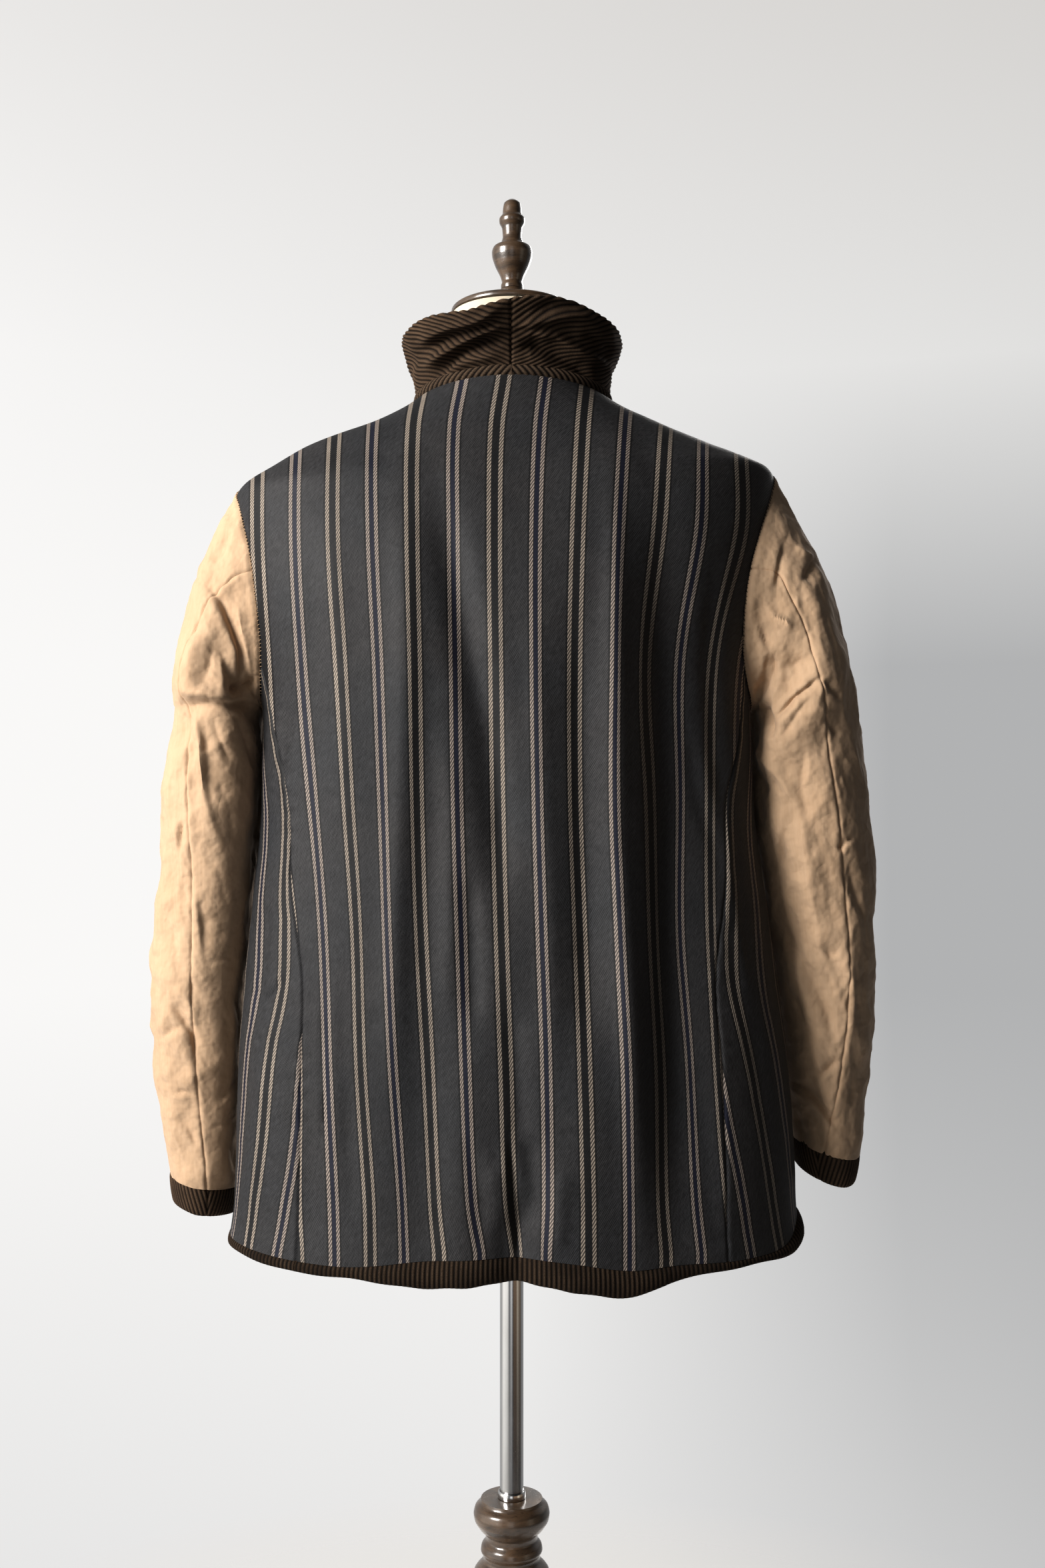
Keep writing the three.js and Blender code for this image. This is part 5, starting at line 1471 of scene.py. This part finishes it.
WALE_RISE = math.radians(27)
WALE_PITCH = RIB_PITCH * 0.97
COLLAR_HEIGHT = 52.0
COLLAR_COLUMNS = 430
COLLAR_PROFILE = (
    [(-0.02, 0.0, 0.4)] + [(k / 50, 0.0, 1.0) for k in range(50)]
    + [(0.985, -0.15, 1.0), (0.997, -0.7, 1.0), (1.0, -1.7, 1.0), (0.997, -2.7, 1.0), (0.985, -3.3, 1.0)]
    + [(1 - k / 20, -3.4, 0.8) for k in range(1, 20)] + [(-0.02, -3.4, 0.2)]
)


def make_collar(word, side):
    angle = side * COLLAR_END * np.linspace(0, 1, COLLAR_COLUMNS + 1)
    place = arc_lengths(collar_point(angle, np.full_like(angle, 0.5)), 0)
    tuck = -1.5 * bump(place, 1.5)
    rows = []
    for rise, out, rib in COLLAR_PROFILE:
        point, normal = collar_surface(angle, np.full_like(angle, rise))
        up = rise * COLLAR_HEIGHT
        drift = 1.6 * np.sin(place / 19 + side) * np.sin(up / 14 + place / 31) + 0.5 * np.sin(place / 7.3)
        across = up * math.cos(WALE_RISE) - place * math.sin(WALE_RISE) + drift
        wales = ribs(across, 1.2, WALE_PITCH)
        push = out + wales * rib + tuck if out > -1.7 else out - wales * rib - tuck * 0.4
        point = raised(point, normal, push)
        if rise > 0.98:
            point[..., 2] += 0.9 * wales
        rows.append((point, across / 0.97, place * math.cos(WALE_RISE) + up * math.sin(WALE_RISE)))
    make_ribbed(f"collar_corduroy_{word}", f"collar_{word}", rows, COLLAR_CORD, False, (0.29, 0.054),
                rests_on=("neck_band_corduroy",))


BAND_RIB = 4.4         # between the slanting ribs of the neck band
BAND_LEAN = 0.72       # their slant, in radians
BAND_COLUMNS = 760
BAND_PROFILE = [
    (-2.4, -1.5, 0.0), (-1.6, 0.2, 0.5), (-0.4, 1.1, 1.0), (1.2, 1.6, 1.0), (3.0, 1.7, 1.0),
    (4.8, 1.3, 1.0), (6.4, 0.6, 0.9), (7.8, -0.4, 0.5), (8.6, -1.8, 0.2), (8.0, -3.2, 0.0),
    (3.0, -3.4, 0.0), (-2.0, -3.2, 0.0),
]


def make_neck_band():
    angle = np.linspace(-COLLAR_END, COLLAR_END, BAND_COLUMNS + 1)
    low = body_point(angle, np.full_like(angle, NECK))
    out = unit(low * (1, 1, 0))
    place = arc_lengths(low, 0)
    rows = []
    for rise, push, rib in BAND_PROFILE:
        across = place * math.cos(BAND_LEAN) + np.sign(angle) * rise * math.sin(BAND_LEAN)
        point = raised(low, out, push + ribs(across, 1.25, BAND_RIB) * rib)
        point[:, 2] += rise
        rows.append((point, across * (RIB_PITCH / BAND_RIB), rise))
    make_ribbed("neck_band_corduroy", "neck_band", rows, WORN_CORD, False, (0.50, 0.013), held="gathered")


make_neck_band()
make_collar("left", -1)
make_collar("right", 1)


# ---------------------------------------------------------------- dress form and stand

def make_form():
    angle = np.linspace(-180, 180, 144, endpoint=False)
    heights = np.concatenate([
        np.linspace(FORM_BOTTOM, 1150, 50), np.linspace(1150, 1190, 10)[1:],
        np.linspace(1190, NECK, 30)[1:],
    ])
    rings = []
    for height in heights:
        at = np.full_like(angle, height)
        normal = body_normal(angle, at)
        if height < SHOULDER_TIP:
            normal = unit(normal * (1, 1, 0))
        rings.append(body_point(angle, at) - normal * float(value_at(FORM_INSET, np.array(height))))
    turn = np.radians(angle)
    for z, side, depth in FORM_NECK:
        low = rings[-1]
        high = np.stack([side * np.sin(turn), -depth * np.cos(turn), np.full_like(turn, z)], -1)
        rings += [low * (1 - share) + high * share for share in (0.25, 0.5, 0.75, 1.0)]
    sections = np.stack(rings)
    uv = np.stack([arc_lengths(sections, 1), sections[..., 2]], -1)
    finish_piece(loft("form_cover", sections, uv, [FORM], False), "form_cloth", ["dress_form"])


def make_leg(number):
    inner = LEG_BLOCK_RADIUS * math.cos(math.pi / 20) + 0.3

    def curve(p0, p1, p2, count=18):
        t = np.linspace(0, 1, count + 1)[1:, None]
        p0, p1, p2 = (np.array(p, float) for p in (p0, p1, p2))
        return (1 - t) ** 2 * p0 + 2 * t * (1 - t) * p1 + t * t * p2

    outline = np.concatenate([
        [[inner, 146]], curve((inner, 146), (104, 146), (150, 84)), curve((150, 84), (190, 28), (250, 22)),
        [[266, 14], [266, 0], [218, 0]], curve((218, 0), (166, 10), (128, 56)),
        curve((128, 56), (92, 96), (inner, 96)),
    ])
    count = len(outline)
    vertices = np.concatenate([
        np.column_stack([outline[:, 0], np.full(count, y), outline[:, 1]])
        for y in (-LEG_WIDTH / 2, LEG_WIDTH / 2)
    ])
    turn = math.radians(45 + 90 * (number - 1))
    c, s = math.cos(turn), math.sin(turn)
    vertices = vertices @ np.array([[c, s, 0], [-s, c, 0], [0, 0, 1]])
    faces = [[k, (k + 1) % count, (k + 1) % count + count, k + count] for k in range(count)]
    faces.append(list(range(count))[::-1])
    faces.append([k + count for k in range(count)])
    piece = new_object(f"stand_leg_{number}", vertices, faces, [WOOD], vertices[:, [0, 2]], sharp=35)
    bevel = piece.modifiers.new("soft edges", "BEVEL")
    bevel.width = 3.2 * MM
    bevel.segments = 4
    bevel.limit_method = "ANGLE"
    bevel.angle_limit = math.radians(50)
    finish_piece(piece, "dark_wood", [f"leg_{number}"])


make_form()
for turned_name, turned_node, turned_profile in (
    ("stand_post", "post", POST_PROFILE), ("form_cap", "neck_cap", CAP_PROFILE),
    ("form_finial", "finial", FINIAL_PROFILE),
):
    finish_piece(lathe(turned_name, turned_profile, WOOD), "dark_wood", [turned_node])
finish_piece(lathe("stand_pole", POLE_PROFILE, CHROME, cuts=()), "chrome", ["pole"])
finish_piece(lathe("stand_ferrule", FERRULE_PROFILE, CHROME, cuts=(), solid=False), "chrome", ["ferrule"])
for leg_number in (1, 2, 3, 4):
    make_leg(leg_number)


# ---------------------------------------------------------------- floor, light and camera

def make_floor():
    """Pale disc that fades into the plain background."""
    turn = np.linspace(0, 2 * math.pi, 96, endpoint=False)
    rim = np.stack([1500 * np.cos(turn), 1500 * np.sin(turn), np.zeros_like(turn)], -1)
    floor = new_object("floor", rim, [list(range(96))], [], rim[:, :2])
    paint = Paint("floor", 0.9, Specular_IOR_Level=0.1)
    paint.shader.inputs["Base Color"].default_value = (0.7, 0.69, 0.675, 1)
    where = paint.nodes.new("ShaderNodeTexCoord")
    length = paint.nodes.new("ShaderNodeVectorMath")
    length.operation = "LENGTH"
    paint.links.new(where.outputs["Object"], length.inputs[0])
    away = Number(paint, length.outputs["Value"]).ramp(0.45, 0.85)
    paint.link(1.0 - away, paint.shader.inputs["Alpha"])
    floor.data.materials.append(paint.material)


# What the chrome and the varnish mirror, from left to right: where each tone begins, and the tone.
MIRRORED_BANDS = [
    (-0.62, -0.4, (0.12, 0.13, 0.15)), (-0.3, -0.12, (1.15, 1.15, 1.16)), (0.08, 0.16, (0.05, 0.05, 0.06)),
    (0.2, 0.32, (0.34, 0.235, 0.16)), (0.7, 0.8, (0.85, 0.74, 0.6)), (0.86, 0.96, (0.30, 0.23, 0.17)),
]


def make_world():
    """Pale studio: brighter on the left, and dimmer behind the camera than in front of it."""
    world = bpy.data.worlds.new("studio")
    world.use_nodes = True
    bpy.context.scene.world = world
    nodes, links = world.node_tree.nodes, world.node_tree.links
    nodes.clear()
    paint = Paint.__new__(Paint)
    paint.nodes, paint.links = nodes, links
    where = nodes.new("ShaderNodeTexCoord")
    parts = nodes.new("ShaderNodeSeparateXYZ")
    links.new(where.outputs["Generated"], parts.inputs[0])
    x, y, z = (Number(paint, socket) for socket in parts.outputs)
    right = x.ramp(-0.36, 0.34)
    side = right.ramp(0.5, 0.84) * y.ramp(-0.3, 0.2)
    low = paint.mix(side, (0.957, 0.949, 0.940), (0.498, 0.502, 0.507))
    middle = paint.mix(right, (0.949, 0.940, 0.932), (0.774, 0.770, 0.761))
    high = paint.mix(right, (0.818, 0.805, 0.792), (0.666, 0.648, 0.629))
    base = paint.mix(right.ramp(0.5, 1.0), (0.818, 0.814, 0.810), (0.592, 0.592, 0.592))
    shown = paint.mix(z.ramp(0.12, 0.3), low, paint.mix(z.ramp(0.3, 0.55), middle, high))
    shown = paint.mix((z * -1.0).ramp(0.08, 0.42), shown, base)
    left = x.ramp(0.75, -1.0)
    lit = paint.mix(left.power(3.0), (0.024, 0.025, 0.028), (1.0, 0.98, 0.94))
    room = paint.mix(y.ramp(0.0, 0.5), lit, paint.mix(0.4, shown, (0.0, 0.0, 0.0)))
    bands = (1.5, 1.47, 1.42)
    for start, end, tone in MIRRORED_BANDS:
        bands = paint.mix(x.ramp(start, end), bands, tone)
    level = z.size().ramp(0.35, 0.2) * y.ramp(0.3, 0.0)
    mirrored = paint.mix(level, room, bands)
    ray = nodes.new("ShaderNodeLightPath")
    color = paint.mix(Number(paint, ray.outputs["Is Glossy Ray"]), room, mirrored)
    color = paint.mix(Number(paint, ray.outputs["Is Camera Ray"]), color, shown)
    background = nodes.new("ShaderNodeBackground")
    paint.link(color, background.inputs["Color"])
    output = nodes.new("ShaderNodeOutputWorld")
    links.new(background.outputs[0], output.inputs[0])


def make_light(name, place, aim, width, height, power, color):
    light = bpy.data.lights.new(name, "AREA")
    light.shape = "RECTANGLE"
    light.size = width
    light.size_y = height
    light.energy = power
    light.color = color
    lamp = bpy.data.objects.new(name, light)
    bpy.context.scene.collection.objects.link(lamp)
    way = np.array(aim, float) - np.array(place, float)
    lamp.location = place
    yaw = math.atan2(way[0], way[1])
    pitch = math.atan2(way[2], math.hypot(way[0], way[1]))
    lamp.rotation_euler = (math.pi / 2 + pitch, 0, -yaw)


def make_camera():
    data = bpy.data.cameras.new("camera")
    data.sensor_width = SENSOR
    data.lens = SENSOR * FOCAL / FRAME_HEIGHT
    data.clip_start = 0.01
    camera = bpy.data.objects.new("camera", data)
    bpy.context.scene.collection.objects.link(camera)
    camera.location = CAMERA * MM
    camera.rotation_euler = (math.pi / 2 + CAMERA_TILT, 0, 0)
    bpy.context.scene.camera = camera


make_floor()
make_world()
make_light("key", (-2.2, -1.6, 1.84), (0.0, 0.0, 0.94), 1.3, 1.3, 130.0, (1.0, 0.97, 0.94))
make_light("front", (0.9, 2.5, 2.0), (0.0, 0.0, 0.95), 1.4, 1.4, 60.0, (1.0, 0.98, 0.96))
make_camera()
bpy.context.scene.view_settings.view_transform = "Standard"
bpy.context.scene.view_settings.gamma = 0.85
